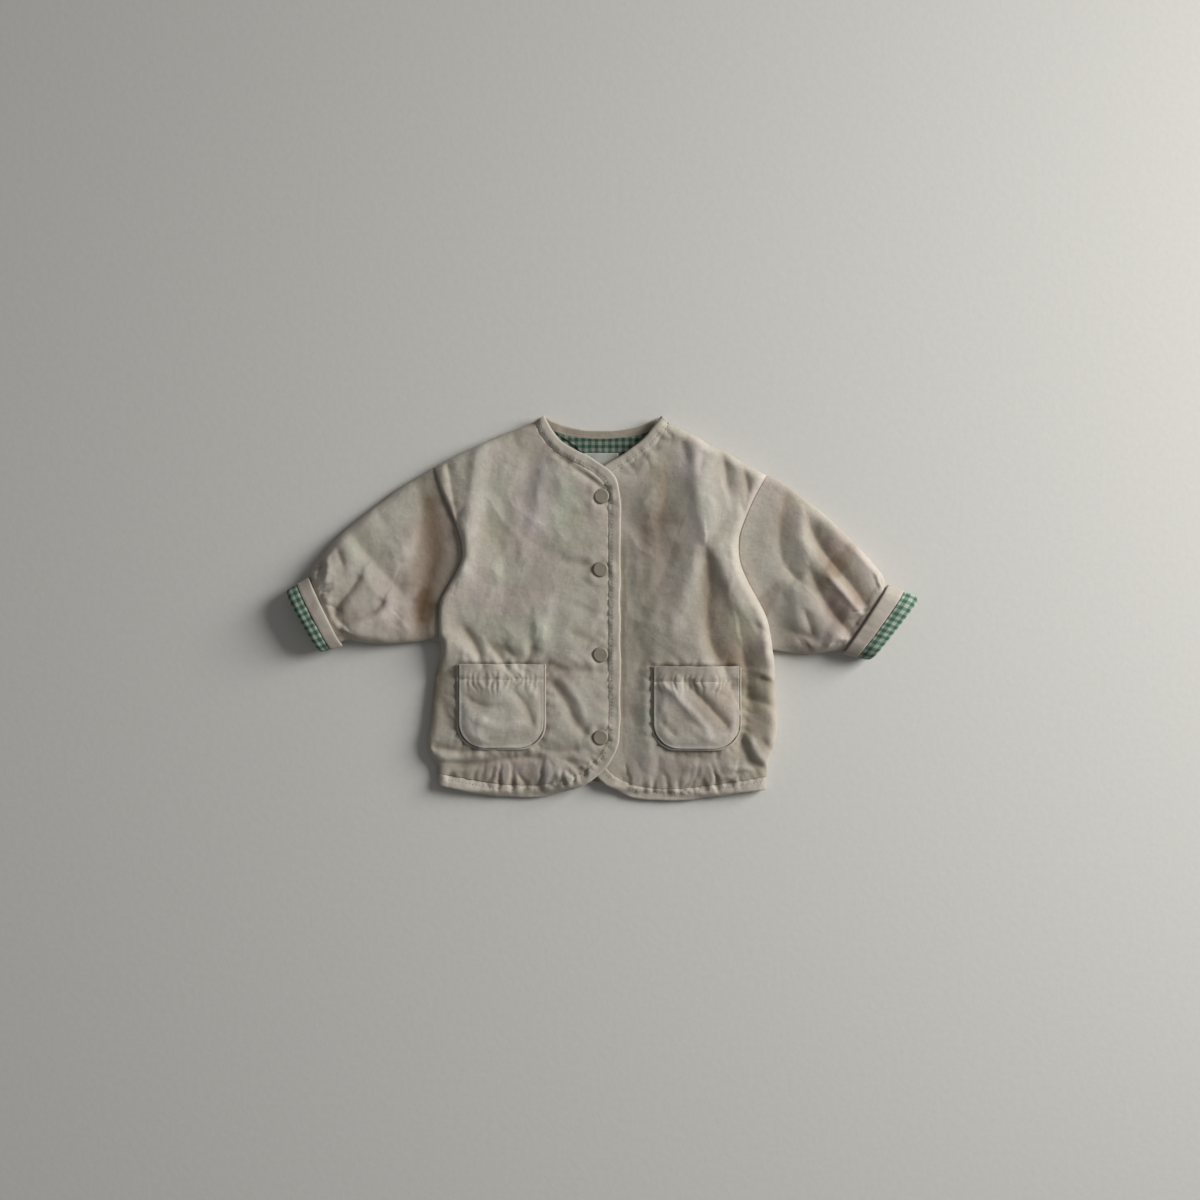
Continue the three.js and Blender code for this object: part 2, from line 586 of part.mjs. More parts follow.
// Fraction 0 to 1 runs from armhole to cuff, and 1 to 2 inside the turned-up cuff.
function sleeveEdges(side, along) {
  const inset = CLOTH + SEAM;
  const { bandTop, bandUnder, foldTop, foldUnder } = side.cuff;
  const length = distance(bandTop, bandUnder);
  const down = [(bandUnder[0] - bandTop[0]) / length, (bandUnder[1] - bandTop[1]) / length];
  const shift = (point, by, back) => [point[0] + down[0] * by - back[0], point[1] + down[1] * by - back[1]];
  const outward = (from, to) => [(to[0] - from[0]) / distance(from, to), (to[1] - from[1]) / distance(from, to)];
  const backTop = outward(bandTop, foldTop).map((value) => value * inset);
  const backUnder = outward(bandUnder, foldUnder).map((value) => value * inset);
  if (along <= 1) {
    const upper = sampleCurve(side.sleeveTop, [along])[0];
    const under = sampleCurve(side.sleeveUnder, [along])[0];
    return { upper, under };
  }
  const entryTop = side.sleeveTop[side.sleeveTop.length - 1];
  const entryUnder = side.sleeveUnder[side.sleeveUnder.length - 1];
  return {
    upper: mixPoint(entryTop, shift(foldTop, inset, backTop), along - 1),
    under: mixPoint(entryUnder, shift(foldUnder, -inset, backUnder), along - 1),
  };
}

// One closed ring of a sleeve, a given distance inside its outer surface (outside it where negative)
function sleeveRing(side, along, inset) {
  const { upper, under } = sleeveEdges(side, along);
  const { crown, floor } = profileAt(along);
  const width = distance(upper, under);
  const fade = 1 - smooth(along, SLEEVE_FOLDS_END.from, SLEEVE_FOLDS_END.to);
  const armShare = (1 - Math.min(along, 1)) ** 2;
  const inward = (run) => run + inset * Math.max(0, 1 - run / EDGE_SPREAD);
  const plan = (nodes, t) => {
    const run = t * width;
    const share = t < 0.5 ? inward(run) / width : 1 - inward(width - run) / width;
    const [x, y] = mixPoint(under, upper, share);
    const arm = alongPolyline(nodes, share);
    const chord = mixPoint(nodes[0], nodes[nodes.length - 1], share);
    const clear = along === 0 ? side.outward * ARMHOLE_CLEARANCE : 0;
    return [x + armShare * (arm[0] - chord[0]) + clear, y + armShare * (arm[1] - chord[1])];
  };
  const middle = floor + SLEEVE_EDGE;
  const rollWidth = Math.max(ROLL - inset, 3);
  const roll = (t) => rollOver((Math.min(t, 1 - t) * width * ROLL) / rollWidth);
  const ring = [];
  fractionsOf(side.armholeNodes).forEach((t) => {
    const [x, y] = plan(side.armholeNodes, t);
    const dome = mix(SLEEVE_DOME.ends, 1, Math.sin(Math.PI * t) ** SLEEVE_DOME.power);
    const raised = middle + (crown - middle) * dome + fade * foldHeight(side.sleeveFolds, x, y);
    const top = Math.max(raised, floor + LEAST_SLEEVE) - inset;
    ring.push([x, y, mix(middle, top, roll(t))]);
  });
  fractionsOf(side.armholeUnderNodes).slice(1, -1).reverse().forEach((t) => {
    const [x, y] = plan(side.armholeUnderNodes, t);
    ring.push([x, y, Math.max(0, mix(middle, floor + inset, roll(t)))]);
  });
  return ring;
}

// Turns a list of rings into the closed loop of sections that loopBody takes
function ringsToSections(rings) {
  return rings[0].map((_, i) => rings.map((ring) => ring[i]));
}

function addSleeve(side) {
  const outer = SLEEVE_STATIONS.map((along) => sleeveRing(side, along, 0));
  const inner = SLEEVE_STATIONS.map((along) => sleeveRing(side, along, CLOTH)).reverse();
  add(`sleeve_${side.name}`, loopBody(ringsToSections([...outer, ...inner])), SHELL);
}

// The turned-up cuff: a faced band toward the body, then the checked lining round the fold
function addCuff(side) {
  const wall = CLOTH;
  const length = CUFF_WIDTH - wall - SEAM;
  const at = (millimetres) => 1 + millimetres / length;
  const ring = ([along, inset]) => sleeveRing(side, at(along), inset);
  const outside = -(wall + SEAM);
  const band = [
    [0, -SEAM],
    [0, outside + 0.8],
    [1.5, outside],
    [CUFF_BAND - SEAM, outside],
    [CUFF_BAND - SEAM, -SEAM],
  ];
  add(`cuff_band_${side.name}`, loopBody(ringsToSections(band.map(ring))), BOUND);
  const lining = [
    [CUFF_BAND, -SEAM],
    [CUFF_BAND, outside + 0.3],
    [length, outside + 0.3],
    [length + 3.2, outside + 2],
    [length + wall, 0.5],
    [length + wall - 1, wall - 0.3],
    [length + SEAM, wall - 0.3],
    [length + SEAM, -SEAM],
  ];
  add(`cuff_lining_${side.name}`, loopBody(ringsToSections(lining.map(ring))), CHECKED);
}

// Pockets: a pouch with rounded lower corners, a gathered band at its mouth and piping round it
function pocketHalfWidth(half, above) {
  if (above >= POCKET_RADIUS) return half;
  return half - POCKET_RADIUS + Math.sqrt(POCKET_RADIUS ** 2 - (POCKET_RADIUS - above) ** 2);
}

function addPocket(side) {
  const { left, right, top, bottom } = side.pocket;
  const centre = (left + right) / 2;
  const border = 2 * PIPING_RADIUS + SEAM;
  const half = (right - left) / 2 - border;
  const lowest = bottom + border;
  const bandFoot = top - POCKET_BAND;
  const surface = (x, y) => frontOuter(side, x, y);
  const clear = (x, y) => crest(surface, x, y, POCKET_REACH) + SEAM;
  const puff = (x, y) => {
    const across = clamp(1 - Math.abs(x - centre) / half, 0, 1);
    const up = clamp((y - lowest) / (top - lowest), 0, 1);
    return POCKET_PUFF * smooth(across, 0, 0.5) * Math.sin(Math.PI * Math.min(0.5, up));
  };
  const row = (y) => {
    const reach = pocketHalfWidth(half, y - lowest);
    return [-1, -0.75, -0.5, -0.25, 0, 0.25, 0.5, 0.75, 1].map((t) => [centre + t * reach, y]);
  };
  const pouchRows = [0, 1.2, 5, 12, POCKET_RADIUS].map((rise) => lowest + rise);
  for (let i = 1; i <= 4; i += 1) pouchRows.push(mix(lowest + POCKET_RADIUS, bandFoot - SEAM, i / 4));
  const lower = (x, y) => clear(x, y) + puff(x, y);
  const upper = (x, y) => lower(x, y) + POCKET_CLOTH;
  add(`pocket_${side.name}`, panel(pouchRows.map(row), upper, lower), SHELL);
  const bandRows = [bandFoot, mix(bandFoot, top, 0.5), top];
  add(`pocket_band_${side.name}`, panel(bandRows.map(row), (x, y) => upper(x, y) + POCKET_BAND_SWELL, lower), BOUND);
  addPiping(side, centre, half + SEAM + PIPING_RADIUS, top, lowest - SEAM - PIPING_RADIUS, clear);
}

function addPiping(side, centre, half, top, lowest, clear) {
  const radius = POCKET_RADIUS + SEAM + PIPING_RADIUS;
  const route = [];
  const legSteps = 4;
  const turnSteps = 6;
  for (let i = 0; i < legSteps; i += 1) route.push([-half, mix(top, lowest + radius, i / legSteps)]);
  for (let i = 0; i <= turnSteps; i += 1) {
    const turn = (Math.PI / 2) * (i / turnSteps);
    route.push([-half + radius - radius * Math.cos(turn), lowest + radius - radius * Math.sin(turn)]);
  }
  const mirrored = route.map(([x, y]) => [-x, y]).reverse();
  const path = [...route, ...mirrored].map(([x, y]) => [centre + x, y]);
  const normals = normalsOf(path);
  const sections = path.map(([x, y], i) =>
    [0, 1, 2, 3, 4, 5].map((k) => {
      const turn = (Math.PI / 3) * k;
      const across = PIPING_RADIUS * Math.cos(turn);
      const height = clear(x, y) + PIPING_RADIUS * (1 + Math.sin(turn));
      return [x + normals[i][0] * across, y + normals[i][1] * across, height];
    }),
  );
  add(`pocket_piping_${side.name}`, strip(sections), BOUND);
}

// Snap caps: a low dome on a short shank that stands on the placket
function addSnaps() {
  const radius = SNAP_DIAMETER / 2;
  const foot = SNAP_SHANK.height;
  const crown = foot + SNAP_HEIGHT;
  const profile = [
    [0, 0],
    [SNAP_SHANK.radius, 0],
    [SNAP_SHANK.radius, foot],
    [radius - 0.4, foot],
    [radius, foot + 0.5],
    [radius - 0.4, crown - 0.4],
    [radius - 1.6, crown],
    [0, crown],
  ];
  for (const { name, x, y } of SNAPS) {
    const shape = new THREE.LatheGeometry(profile.map(([r, z]) => new THREE.Vector2(r, z)), 20);
    shape.rotateX(Math.PI / 2);
    const mesh = add(name, shape, SNAP);
    mesh.material.roughness = 0.55;
    mesh.position.set(x, y, crest((px, py) => frontOuter(RIGHT, px, py), x, y, SNAP_REACH) + SEAM);
  }
}

layOut(RIGHT);
layOut(LEFT);
const neckInner = addBack();
addNeckLining(neckInner);
for (const side of [RIGHT, LEFT]) {
  addFront(side);
  addFrontBinding(side);
  addSleeve(side);
  addCuff(side);
  addPocket(side);
}
addSnaps();

export default jacket;
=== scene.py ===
"""Dressed model of a child's reversible jacket, buttoned and laid flat on its back.

The tables are in millimetres, in the frame's axes: +X to the wearer's left sleeve, +Y to the neck,
+Z up from the surface. Blender objects are in metres.
"""
import math

import bmesh
import bpy
import numpy as np
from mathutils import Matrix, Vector


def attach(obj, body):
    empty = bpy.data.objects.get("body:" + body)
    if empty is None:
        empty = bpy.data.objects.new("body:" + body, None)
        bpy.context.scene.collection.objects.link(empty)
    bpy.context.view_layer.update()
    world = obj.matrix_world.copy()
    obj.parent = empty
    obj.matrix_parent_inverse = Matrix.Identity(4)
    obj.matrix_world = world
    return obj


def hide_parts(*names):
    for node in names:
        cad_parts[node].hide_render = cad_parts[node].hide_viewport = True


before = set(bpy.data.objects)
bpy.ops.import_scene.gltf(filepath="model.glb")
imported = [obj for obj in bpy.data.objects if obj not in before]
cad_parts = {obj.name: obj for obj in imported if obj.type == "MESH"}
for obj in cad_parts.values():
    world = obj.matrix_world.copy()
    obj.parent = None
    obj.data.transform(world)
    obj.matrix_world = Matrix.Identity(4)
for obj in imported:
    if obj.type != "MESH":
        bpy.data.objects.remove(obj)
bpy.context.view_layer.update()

MM = 0.001

# Cloth and seams. SEAM is the gap between pieces, ROLL how far cloth rolls over at a seam.
CLOTH = 4.2
SEAM = 0.3
ROLL = 9.0
EASE = 0.5
SIDE_SEAM_Z = 4.6
SEAM_LIP = 1.2
RIM = 1.0
GRID = 1.6
CHECK = 3.2

# Bindings
BINDING = 12.0
BACK_NECK_BINDING = 8.5
BINDING_SWELL = 0.6
BINDING_FILL = 0.4

# Fronts: how loosely they lie, and how they rise at the armholes and fall at the hem
SLACK = 1.6
LEAST_SLACK = 0.1
PLACKET_CLEARANCE = 1.2
PUFF = 2.8
ARM_PUFF = 6.5
LEFT_PUFF = 2.0
LEFT_RISE = 9.5
HEM_RISE = (8, 50)
HEM_DROP = (0.5, 8.5)
FLOOR_CLEARANCE = 0.3
ARM_SEAM = {"high": 11.0, "from": 45, "to": 100}
ARM_ROLL = 9.5

# Sleeves and cuffs
SLEEVE_WALL = 2.4
SLEEVE_LENGTH = 150.0
SLEEVE_EDGE = 5.0
SLEEVE_UPPER_POINTS = 110
SLEEVE_LOWER_POINTS = 46
EDGE_SPREAD = 20.0
CUFF_WIDTH = 26.0
CUFF_BAND = 13.0
CUFF_FLOOR = 4.7
CUFF_WAVE = 0.5
CUFF_STEP = 2.2

# Pockets
POCKET_CLOTH = 1.8
POCKET_RADIUS = 24.0
POCKET_BAND = 14.0
POCKET_COLUMNS = 76
PLEAT_PITCH = 8.5
PIPING_RADIUS = 1.0
PIPING_GAP = 0.2

# Snaps, label and stitches
SNAP_DIAMETER = 14.5
SNAP_SHANK = 0.3
SNAP_SEAT = 6.0
LINING_PATCH = 0.8
LABEL = {"width": 33.0, "height": 17.0, "thickness": 0.5, "x": -1.0, "y": 140.0}
STITCH = {"pitch": 3.3, "length": 2.3, "width": 0.45, "height": 0.35}
STITCH_ROW = 10

# Surroundings, in metres and watts
FLOOR_REACH = 4.0
WINDOW = {"place": (2.35, 0.9, 1.15), "aim": (0.05, -0.28, 0.0), "size": 1.4, "power": 37}
WINDOW_SPREAD = 100
WINDOW_COLOR = (1.0, 0.995, 0.98)
ROOM_COLOR = (0.60, 0.60, 0.60, 1)
ROOM_STRENGTH = 0.27
CAMERA = {"x": -0.0019, "y": 0.00855, "z": 1.6}
VIEW_WIDTH = 1.14
VIEW_HEIGHT = 0.010
SENSOR = 36

RIGHT = {
    "name": "right",
    "outward": -1,
    "arm_seam_low": 13.5,
    "seeds": {"front": 100, "binding": 300, "sleeve": 400, "cuff": 600, "pocket": 700, "piping": 760},
    "hem": [(-156, -169), (-118, -176), (-88, -179.6), (-58, -179.5), (-31, -173), (-11, -164), (4, -150)],
    "opening": [
        (4, -150), (14, -134), (17.3, -118), (17.6, -60), (17.6, 0), (17.6, 60), (17.6, 96),
        (17, 111), (13, 124), (3, 134.5), (-12, 144.5), (-33, 155), (-47, 169), (-54, 184),
    ],
    "side": [
        (-156.6, -157), (-158, -148), (-164, -136), (-166, -128), (-163.4, -105.5),
        (-161.5, -86.5), (-158.7, -62.7), (-154, -44), (-153.9, -32.3),
    ],
    "armhole": [
        (-153.9, -32.3), (-154.9, -15), (-153.5, 6), (-147, 20), (-137, 37), (-132.3, 50),
        (-134, 66), (-138.7, 80), (-145.4, 96), (-153.5, 115), (-159.6, 134.9),
    ],
    "shoulder": [
        (-159.6, 134.9), (-144.4, 143.5), (-129.2, 151), (-96.9, 165.3), (-84.6, 170), (-64.6, 177.7),
    ],
    "sleeve_top": [
        (-159.6, 134.9), (-172.9, 127.3), (-191.9, 115.9), (-210.9, 101.7), (-229.9, 87.4),
        (-248.9, 71.3), (-266, 51.3), (-275.5, 37.1), (-276.5, 26.5),
    ],
    "sleeve_under": [
        (-153.9, -32.3), (-163.4, -30.4), (-182.4, -32.3), (-201.4, -33.7), (-215.7, -33.3),
        (-229.9, -31.4), (-241, -29.5), (-248.4, -31.3),
    ],
    "band_top": (-278.4, 30.4),
    "band_under": (-246.5, -35.2),
    "fold_top": (-301.6, 17.2),
    "fold_under": (-269.3, -42.2),
    "pocket": {"left": -137.8, "right": -53.2, "top": -52.3, "bottom": -133.5},
}
LEFT = {
    "name": "left",
    "outward": 1,
    "arm_seam_low": 7.4,
    "seeds": {"front": 200, "binding": 310, "sleeve": 500, "cuff": 620, "pocket": 720, "piping": 770},
    "hem": [
        (155.8, -172), (121.6, -177.7), (93, -181.5), (64, -183.5), (36, -181.5), (21.9, -177.7),
        (3.8, -168.2),
    ],
    "opening": [
        (3.8, -168.2), (-4.8, -159.6), (-12, -148), (-18.5, -130), (-20.4, -110), (-20.4, -60),
        (-20.4, 0), (-20.4, 60), (-20.4, 98), (-18.5, 112), (-12, 124), (2.9, 136.8), (23.8, 150.1),
        (40.9, 163.4), (56, 183.4),
    ],
    "side": [
        (156.4, -160), (158, -148), (161.5, -136.8), (165.3, -124.5), (167.2, -105.5),
        (165.3, -86.5), (164.4, -53.2), (162.5, -39),
    ],
    "armhole": [
        (162.5, -39), (160.6, -25), (157, -9), (148.5, 8.6), (139, 26), (132, 43),
        (130, 58), (131, 71), (136, 86), (145.4, 107.4), (156.8, 127.3),
    ],
    "shoulder": [
        (156.8, 127.3), (140.6, 135.9), (116.9, 150.1), (102.6, 155.9), (93.1, 162.5), (74.1, 172),
        (62.7, 176.7),
    ],
    "sleeve_top": [
        (156.8, 127.3), (169.1, 122.6), (188.1, 108.3), (207.1, 94.1), (226.1, 77),
        (245.1, 58), (262.2, 39), (267.9, 29.5), (269.3, 19.7),
    ],
    "sleeve_under": [
        (162.5, -39), (178.6, -41.8), (197.6, -42.8), (216.6, -40.9), (225, -39.5), (230.9, -38.7),
    ],
    "band_top": (271.7, 23.3),
    "band_under": (228.5, -42.3),
    "fold_top": (301.4, 11.3),
    "fold_under": (255.6, -49.6),
    "pocket": {"left": 46.6, "right": 132.0, "top": -54.2, "bottom": -134.0},
}
BACK_NECK = [
    (-54, 184), (-46.6, 178.6), (-30.4, 172.9), (-1.9, 170.1), (31.4, 172.9), (45, 178.5), (56, 183.4),
]
BACK_HEM = [(-156, -169), (-100, -171.5), (-2, -166.5), (100, -173.5), (155.8, -172)]
SNAPS = {"snap_1": (-0.5, 106.9), "snap_2": (-1.4, 37.5), "snap_3": (-1.4, -43.2), "snap_4": (-1.4, -121.6)}

# Folds: the crest or trough line, half width on its left and right side as it runs, and rise.
RIGHT["folds"] = [
    ([(-115, 164), (-121, 124), (-125, 88), (-129, 56), (-135, 30)], 12, 7, 2.8),
    ([(-147, 138), (-142, 110), (-137, 84)], 6, 4, -2.6),
    ([(-149, 132), (-142, 113)], 4, 4, 0.6),
    ([(-86, 168), (-78, 148)], 6, 6, -0.8),
    ([(-52, 138), (-60, 96), (-72, 50)], 18, 9, 1.8),
    ([(-86, 112), (-96, 66), (-90, 30)], 10, 9, -1.2),
    ([(-40, 132), (-34, 96), (-40, 60)], 9, 9, 1.1),
    ([(-74, 70), (-50, 54), (-26, 52)], 7, 9, -1.0),
    ([(-128, 44), (-112, 26), (-88, 22)], 9, 8, -1.0),
    ([(-96, 6), (-60, 4), (-24, 10)], 8, 10, 0.9),
    ([(-134, -16), (-123, -30), (-117, -44), (-112, -58)], 7, 7, -3.8),
    ([(-107, -34), (-97, -46), (-89, -58)], 9, 4, -4.0),
    ([(-92, -36), (-84, -46), (-78, -58)], 6, 4, -2.4),
    ([(-140, -28), (-124, -44), (-112, -54)], 6, 7, 1.4),
    ([(-65, -33), (-69, -44), (-73, -56)], 9, 5, -3.6),
    ([(-86, -30), (-88, -50)], 6, 6, 1.4),
    ([(-64, -8), (-61, -20), (-62, -32)], 8, 4, 1.4),
    ([(-50, -66), (-34, -88), (-25, -108), (-12, -120)], 8, 5, -3.6),
    ([(-160, -58), (-162, -96), (-161, -124)], 15, 6, -3.0),
    ([(-40, -66), (-24, -84), (-16, -104)], 4, 5, 1.2),
    ([(-54, -49), (-39, -57), (-8, -58)], 4, 6, -2.2),
    ([(-34, -44), (-18, -52)], 4, 4, 1.1),
    ([(-100, -36), (-84, -44), (-78, -50)], 5, 5, -1.4),
    ([(-160, -67), (-142, -58)], 5, 4, -2.2),
    ([(-162, -131), (-134, -135), (-120, -131)], 6, 3.5, -2.8),
    ([(-158, -141), (-136, -142), (-112, -139)], 5, 5, 1.6),
    ([(-159, -148), (-122, -148), (-101, -144), (-78, -141), (-57, -141)], 5, 3, -2.6),
    ([(-100, -136), (-80, -133), (-62, -134)], 4, 5, 1.0),
    ([(-57, -133), (-40, -135), (-22, -133)], 5, 3, -2.4),
    ([(-36, -144), (-12, -148)], 4, 3, -2.0),
    ([(-152, -86), (-144, -112)], 5, 7, -1.2),
    ([(-26, 133), (-10, 123), (3, 112)], 3, 4, -2.4),
    ([(-14, 130), (2, 118)], 3, 2.5, 1.2),
    ([(-44, 146), (-28, 136)], 4, 3, -1.6),
    ([(-40, 46), (-8, 41)], 4, 6, -1.5),
    ([(-34, 52), (-12, 49)], 5, 3, 0.9),
    ([(-34, 92), (-10, 86)], 5, 6, -1.1),
    ([(-30, 6), (-8, -4)], 4, 6, -1.2),
    ([(-30, -22), (-8, -32)], 5, 4, -1.3),
]
LEFT["folds"] = [
    ([(90, 158), (91, 116), (95, 84), (106, 54), (120, 26), (134, -4)], 14, 9, 3.2),
    ([(114, 150), (117, 132), (119, 112)], 6, 5, -2.4),
    ([(134, 132), (138, 112), (134, 92)], 5, 5, -2.4),
    ([(62, 136), (60, 104), (56, 78)], 14, 12, -2.4),
    ([(70, 66), (54, 24), (36, -12)], 10, 18, -2.0),
    ([(44, 84), (72, 80)], 6, 6, -1.0),
    ([(92, 60), (80, 20), (62, -28)], 10, 10, 1.6),
    ([(99, 58), (101, 24), (100, -8), (103, -34), (116, -56), (126, -84)], 15, 8, -6.0),
    ([(132, -34), (138, -66), (137, -104), (130, -138)], 20, 6, -4.6),
    ([(96, 150), (92, 128)], 6, 6, -1.5),
    ([(74, 160), (82, 140)], 5, 5, -1.2),
    ([(131, -118), (139, -143), (157, -155)], 5, 5, -3.4),
    ([(140, -122), (148, -138), (160, -150)], 4, 5, 1.9),
    ([(152, -124), (162, -136)], 4, 4, -1.8),
    ([(148, -64), (166, -72)], 3, 5, -2.2),
    ([(146, -60), (164, -66)], 4, 3, 1.1),
    ([(134, -82), (150, -88), (166, -93)], 6, 4, -2.2),
    ([(136, -74), (146, -104)], 6, 6, -1.3),
    ([(125, -160), (152, -160)], 4, 3, -2.2),
    ([(118, -151), (148, -152)], 3.5, 3.5, 1.0),
    ([(26, 74), (34, 40)], 6, 6, 1.0),
    ([(28, -12), (38, -42), (32, -74)], 7, 7, -1.4),
    ([(40, -60), (42, -92), (40, -118)], 5, 5, 1.2),
    ([(24, -90), (34, -112)], 5, 6, -1.2),
    ([(54, -140), (54, -162)], 4, 5, -1.1),
    ([(66, -138), (100, -141)], 5, 6, -1.2),
    ([(80, -150), (110, -146)], 5, 5, 0.9),
    ([(144, -14), (158, -24)], 4, 5, -1.8),
    ([(150, 4), (158, -44)], 5, 5, 1.0),
]
RIGHT["sleeve_folds"] = [
    ([(-184, 122), (-178, 108), (-176, 92), (-181, 66), (-190, 44)], 6, 14, 3.0),
    ([(-171, 116), (-163, 90), (-159, 56), (-165, 26), (-172, -14)], 14, 13, -7.5),
    ([(-236, 69), (-218, 48), (-198, 26), (-186, 12)], 12, 8, -2.8),
    ([(-246, 66), (-234, 43), (-221, 22), (-202, 2)], 10, 24, 2.2),
    ([(-228, 33), (-237, 19), (-248, 5), (-254, -10)], 4.5, 9, -3.8),
    ([(-250, -15), (-216, -2), (-206, 10)], 9, 3.5, -3.6),
    ([(-246, -23), (-222, -13), (-204, -3)], 6, 7, 2.6),
    ([(-251, -24), (-238, -28)], 3, 3, -2.6),
    ([(-264, 46), (-271, 28)], 5, 4, -3.2),
    ([(-262, 50), (-259, 36), (-262, 24)], 4, 4, 1.8),
    ([(-250, 56), (-244, 40)], 4, 5, -2.0),
    ([(-164, 2), (-167, -26)], 4, 4, -2.8),
    ([(-186, 0), (-184, -26)], 8, 7, 1.6),
    ([(-214, 96), (-208, 84)], 8, 8, -1.6),
    ([(-262, 8), (-254, 4)], 4, 4, 1.8),
]
LEFT["sleeve_folds"] = [
    ([(176, 112), (170, 86), (170, 56), (177, 38), (188, 26)], 9, 7, -5.4),
    ([(192, 100), (190, 76), (196, 50)], 10, 8, 2.2),
    ([(196, 84), (205, 63), (219, 43), (236, 23), (250, 3)], 14, 9, -8.0),
    ([(214, 32), (230, 13), (246, -5)], 5, 4, 2.6),
    ([(197, 38), (208, 13), (222, -8), (236, -24)], 11, 8, -5.4),
    ([(166, -15), (184, -22), (200, -28)], 6, 4, -2.2),
    ([(146, 28), (158, 14), (174, -6), (190, -26)], 22, 7, 4.0),
    ([(176, -12), (190, -33)], 8, 5, -2.6),
    ([(192, -2), (201, -28)], 5, 5, -2.2),
    ([(212, -37), (220, -29), (236, -28)], 8, 3, 3.0),
    ([(248, -4), (256, -9)], 3, 4, -2.6),
    ([(236, 70), (254, 42), (263, 26)], 8, 7, 2.0),
    ([(168, 20), (176, 4)], 6, 7, -2.2),
    ([(160, -34), (186, -40)], 3, 3, -1.4),
    ([(256, 34), (262, 18)], 4, 4, -1.8),
]
# Clouds of painted shade and painted highlight, with a dye tint: centre, half width across and along, turn in
# degrees, shade (painted shade below 0, painted highlight above 0) and dye tint (pink above 0).
RIGHT["clouds"] = [
    (-64, 110, 24, 52, -18, 0.10, 1.0),
    (-100, 76, 14, 60, 4, 0.20, -0.8),
    (-30, 84, 18, 40, 0, -0.05, -0.9),
    (-100, 10, 30, 14, 0, -0.10, 0.9),
    (-70, -22, 40, 22, 0, 0.05, -0.8),
    (-60, -150, 50, 14, 0, 0.0, 0.6),
    (-24, -4, 16, 34, 0, 0.05, -0.6),
    (-54, 104, 26, 42, -10, 0.75, -0.3),
    (-86, 38, 16, 22, 0, 0.50, -0.2),
    (-134, 68, 9, 42, 0, 0.80, -0.2),
    (-118, -8, 16, 16, 0, 0.50, -0.1),
    (-62, 92, 10, 30, 0, 0.10, 0.3),
]
LEFT["clouds"] = [
    (50, 122, 15, 24, 0, -0.55, 0.1),
    (46, 52, 18, 56, -4, -0.60, 0.2),
    # This cloud paints the shadow line beside the edge of the top front's binding.
    (20.5, -20, 2.6, 130, 0, -1.2, 0.0),
    (56, 119, 8, 18, 0, -0.50, 0.0),
    (41, -92, 9, 36, 0, 0.50, -0.1),
    (109, 66, 6, 26, -25, -0.60, 0.0),
    (76, 136, 9, 26, 0, 0.35, 0.4),
    (32, -30, 8, 22, 0, -0.35, 0.0),
    (106, 84, 9, 36, 8, -0.40, -0.2),
    (138, -127, 9, 9, 0, 0.80, 0.0),
    (120, -48, 13, 40, 8, -0.50, 0.0),
    (60, 84, 26, 14, 0, -0.30, 0.2),
    (128, -58, 13, 24, 0, -0.50, 0.0),
    (80, 130, 18, 26, 0, 0.15, 1.0),
    (64, 14, 20, 34, -22, 0.10, 0.6),
    (100, 14, 9, 46, 0, -0.45, 0.2),
    (128, -10, 14, 30, 18, -0.10, -0.9),
    (146, -80, 18, 34, 0, -0.35, -0.8),
    (70, -152, 44, 14, 0, 0.0, 0.7),
    (34, -50, 12, 60, 0, 0.05, -0.5),
]
# The first two sleeve clouds paint the shadow that the body's puffed edge casts on the sleeve by the armhole.
RIGHT["sleeve_clouds"] = [
    (-163, 50, 26, 70, 0, -0.85, 0.2),
    (-172, -8, 22, 30, 0, -0.85, 0.3),
    (-230, 62, 20, 10, 45, -0.10, -0.8),
    (-200, 4, 36, 16, 10, 0.15, 0.2),
]
# Painted shade along the left armhole and in the sleeve's creases, with painted highlight and dye tint.
LEFT["sleeve_clouds"] = [
    (190, 110, 20, 14, -40, 0.05, -0.8),
    (222, 60, 16, 20, -50, -0.20, 0.9),
    (155, 4, 9, 30, -32, -1.20, 0.2),
    (228, -8, 8, 20, -40, -0.50, 0.1),
    (230, 10, 16, 26, -40, -0.45, 0.5),
    (178, 2, 13, 30, -38, 0.30, -0.2),
    (228, 46, 10, 42, -38, -0.80, 0.1),
]
SLEEVE_ALONG = [0, 0.15, 0.35, 0.6, 0.82, 0.94, 1, 3]
SLEEVE_CROWN = [10.4, 13.2, 16.5, 20, 22.6, 21.4, 19.4, 19.4]
SLEEVE_FLOOR = [0, 0, 0, 0, 0, 2.6, CUFF_FLOOR, CUFF_FLOOR]
LEAST_SLEEVE = 2 * SLEEVE_WALL + 1.2

# How strongly the relief attribute (painted shade and highlight, browner where dark) and the dye tint work on
# red, green and blue
SHADE_AND_TINT_GAINS = ((0.20, 0.035), (0.235, -0.02), (0.275, 0.045))


# Numbers and curves

def mix(a, b, t):
    return a + (b - a) * t


def smooth(value, start, stop):
    t = np.clip((value - start) / (stop - start), 0, 1)
    return t * t * (3 - 2 * t)


def bell(away, width):
    return np.exp(-((away / width) ** 2))


def roll_over(inside, width=ROLL):
    return np.sqrt(1 - (1 - np.clip(inside / width, 0, 1)) ** 2)


